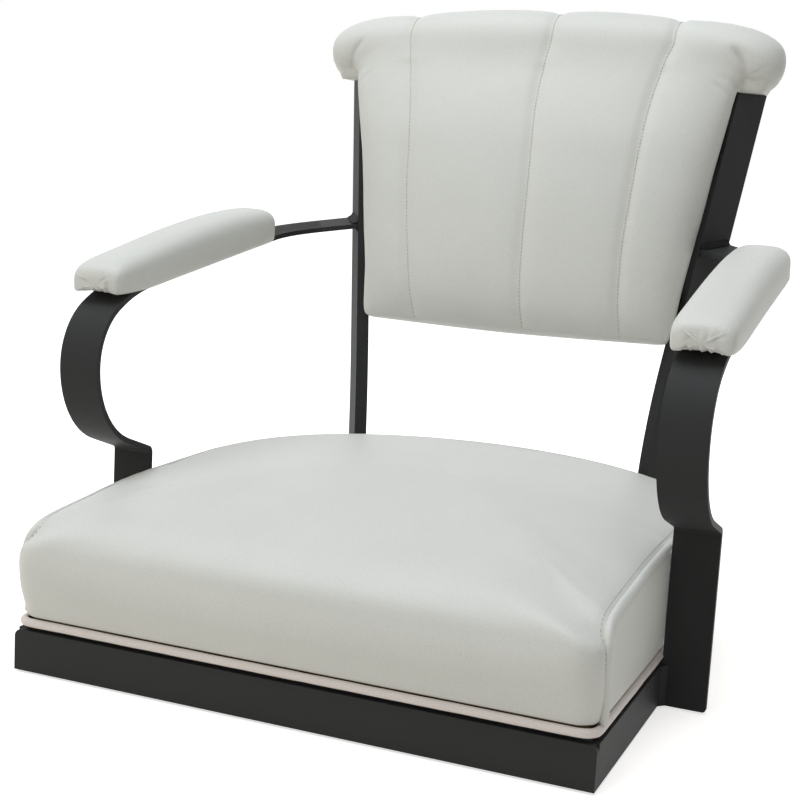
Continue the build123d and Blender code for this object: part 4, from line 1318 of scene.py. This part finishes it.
class STOOL_OT_dust_cover(bpy.types.Operator):
    """Make the thin cloth under the seat board, stapled round its edge"""

    bl_idname = "stool.dust_cover"
    bl_label = "Dust cover"

    def execute(self, context):
        node = frame["nodes"]["dust_cover"]
        form = bmesh.new()
        form.from_mesh(node.data)
        bmesh.ops.remove_doubles(form, verts=form.verts, dist=0.01 * MM)
        bmesh.ops.dissolve_limit(form, angle_limit=0.02, verts=form.verts, edges=form.edges)
        piece = finish_form(form, "dust_cloth", "lining", False)
        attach(piece, "seat_head")
        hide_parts("dust_cover")
        staples = bmesh.new()
        outline = whole_outline(22 * MM, 22 * MM, 10 * MM)
        path = even_path(at_level(outline, SEAT_BOARD[0].z - 1.1 * MM), 34 * MM, True)
        for i, p in enumerate(path):
            ahead = path[(i + 1) % len(path)] - p
            shape = laid_along(p, ahead, (5 * MM, 0.6 * MM, 0.5 * MM), "X", "Z")
            made = bmesh.ops.create_cube(staples, size=1, matrix=shape)["verts"]
            edges = list({e for v in made for e in v.link_edges})
            bmesh.ops.bevel(
                staples, geom=edges, offset=0.12 * MM, affect="EDGES", segments=1, profile=0.5, material=-1)
        piece = finish_form(staples, "dust_cloth_staples", "zinc_steel")
        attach(piece, "seat_head")
        return {"FINISHED"}


class STOOL_OT_metalwork(bpy.types.Operator):
    """Give the frame's own pieces their finishes, and lay the weld beads between them"""

    bl_idname = "stool.metalwork"
    bl_label = "Metalwork"

    def execute(self, context):
        slots = {entry["node"]: entry["material_slot"] for entry in frame["record"]["subparts"]}
        for name, node in frame["nodes"].items():
            node.data.materials.clear()
            node.data.materials.append(finish_named(slots.get(name, "powder_coat")))
        self.weld()
        return {"FINISHED"}

    def weld(self):
        """Hollow fillets where bar meets bar, and beads round the crossbars' ends."""
        radial = Vector((math.sin(TANGENT_ANGLE), math.cos(TANGENT_ANGLE), 0))
        across = Vector((radial.y, -radial.x, 0))
        up = Vector((0, 0, 1))
        foot = Vector((REAR_ARC * radial.x, REAR_ARC_Y + REAR_ARC * radial.y, 0))
        half_upright = 6.35 * MM
        forms = []
        for edge in (-1, 1):
            place = foot + across * edge * half_upright
            line = [place + up * z * MM for z in range(4, 36)]
            forms.append(fillet_form(line, across * edge, radial, 3.4 * MM))
        corner = ARM_FRONT / MM
        ends = ((-60.0, 307.5), (-39.0, 339.3))
        for levels, turn, size in (((354.5, 360.0), 1, 6.5), ((349.6, 355.2), -1, 4.5)):
            start, end = ((corner + Vector((x, y, z))) * MM for (x, y), z in zip(ends, levels))
            line = [start.lerp(end, i / 20) for i in range(21)]
            forms.append(fillet_form(line, up * turn, across, size * MM))
        for bar in ("back_crossbar_lower", "back_crossbar_upper"):
            local = [back_local(v.co) for v in frame["nodes"][bar].data.vertices]
            levels = [run for _, run, _ in local]
            middle = (min(levels) + max(levels)) / 2
            corners = {}
            for x, run, forward in local:
                key = (run > middle, forward > -6)
                if key not in corners or x > corners[key][0]:
                    corners[key] = (x, run, forward)
            loop = [back_point(*corners[key]) for key in (
                (True, True), (True, False), (False, False), (False, True))]
            forms.append(cord_form(even_path(loop, 2 * MM), 2 * MM, 10))
        beads = merge_forms(forms)
        for vertex in beads.verts:
            ripple = noise.noise(vertex.co * 420) + math.sin((vertex.co.z + vertex.co.y) / MM * 2.1)
            vertex.co += across * ripple * 0.14 * MM
        everything = beads.verts[:] + beads.edges[:] + beads.faces[:]
        bmesh.ops.mirror(beads, geom=everything, axis="X", merge_dist=0)
        piece = finish_form(beads, "weld_beads", "powder_coat")
        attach(piece, "seat_head")


class STOOL_OT_stage(bpy.types.Operator):
    """Set the floor, the lamps and the camera"""

    bl_idname = "stool.stage"
    bl_label = "Stage"

    def execute(self, context):
        scene = context.scene
        scene.view_settings.view_transform = "Standard"
        form = bmesh.new()
        bmesh.ops.create_grid(form, x_segments=8, y_segments=8, size=9.0)
        floor = finish_form(form, "floor", "floor")
        self.lamp("Overhead", (-0.4, -0.5, 2.6), (0, 0, 0.25), 2.2, 49, (0.90, 0.95, 1.0))
        self.lamp("Left front", (-2.2, -2.4, 1.3), (0, 0, 0.25), 1.8, 12.5, (1.0, 0.90, 0.74))
        self.world(scene)
        self.camera(scene)
        return {"FINISHED"}

    def world(self, scene):
        """A white surround, dimmer as a source of light than as a background."""
        world = bpy.data.worlds.new("Studio")
        scene.world = world
        world.use_nodes = True
        tree = world.node_tree
        strength = ranged(tree, shown_directly(tree), 0, 1, 0.29, 1.0)
        fill_inputs(tree, tree.nodes["Background"], Color=(1, 1, 1, 1), Strength=strength)

    def lamp(self, name, place, target, size, power, colour):
        """A square soft lamp that faces the target."""
        data = bpy.data.lights.new(name, "AREA")
        data.shape = "SQUARE"
        data.size = size
        data.energy = power
        data.color = colour
        lamp = bpy.data.objects.new(name, data)
        bpy.context.scene.collection.objects.link(lamp)
        lamp.location = place
        lamp.rotation_euler = (Vector(target) - Vector(place)).to_track_quat("-Z", "Y").to_euler()

    def camera(self, scene):
        """The photo's view, worked out from its straight edges."""
        data = bpy.data.cameras.new("Camera")
        data.sensor_width = 36
        data.lens = 67.327
        data.clip_start = 0.05
        camera = bpy.data.objects.new("Camera", data)
        scene.collection.objects.link(camera)
        turn, pitch, roll = 0.386442, 0.160075, 0.0556685
        look = Vector((
            -math.sin(turn) * math.cos(pitch), math.cos(turn) * math.cos(pitch), -math.sin(pitch)))
        right = Vector((math.cos(turn), math.sin(turn), 0))
        up = right.cross(look)
        c, s = math.cos(roll), math.sin(roll)
        right, up = right * c + up * s, up * c - right * s
        axes = Matrix((right, up, -look)).transposed().to_4x4()
        place = (0.4742, -1.2320, 0.4282)
        camera.matrix_world = Matrix.Translation(place) @ axes
        scene.camera = camera


OPERATORS = (
    STOOL_OT_stage, STOOL_OT_metalwork, STOOL_OT_seat, STOOL_OT_piping, STOOL_OT_back, STOOL_OT_back_panel,
    STOOL_OT_arm_pads, STOOL_OT_dust_cover,
)


class STOOL_PT_panel(bpy.types.Panel):
    """Buttons and settings for the stool head"""

    bl_label = "Stool head"
    bl_idname = "STOOL_PT_panel"
    bl_space_type = "VIEW_3D"
    bl_region_type = "UI"
    bl_category = "Stool head"

    def draw(self, context):
        column = self.layout.column()
        for operator in OPERATORS:
            column.operator(operator.bl_idname)
        for settings in (context.scene.stool_sizes, context.scene.stool_finish):
            for name in settings.__annotations__:
                column.prop(settings, name)


CLASSES = (StoolFinishSettings, StoolSizeSettings, *OPERATORS, STOOL_PT_panel)


def register():
    for cls in CLASSES:
        bpy.utils.register_class(cls)
    bpy.types.Scene.stool_finish = PointerProperty(type=StoolFinishSettings)
    bpy.types.Scene.stool_sizes = PointerProperty(type=StoolSizeSettings)


def unregister():
    del bpy.types.Scene.stool_sizes
    del bpy.types.Scene.stool_finish
    for cls in reversed(CLASSES):
        bpy.utils.unregister_class(cls)


def main():
    register()
    bpy.ops.stool.stage()
    bpy.ops.stool.metalwork()
    bpy.ops.stool.seat()
    bpy.ops.stool.piping()
    bpy.ops.stool.back()
    bpy.ops.stool.back_panel()
    bpy.ops.stool.arm_pads()
    bpy.ops.stool.dust_cover()


if __name__ == "__main__":
    main()
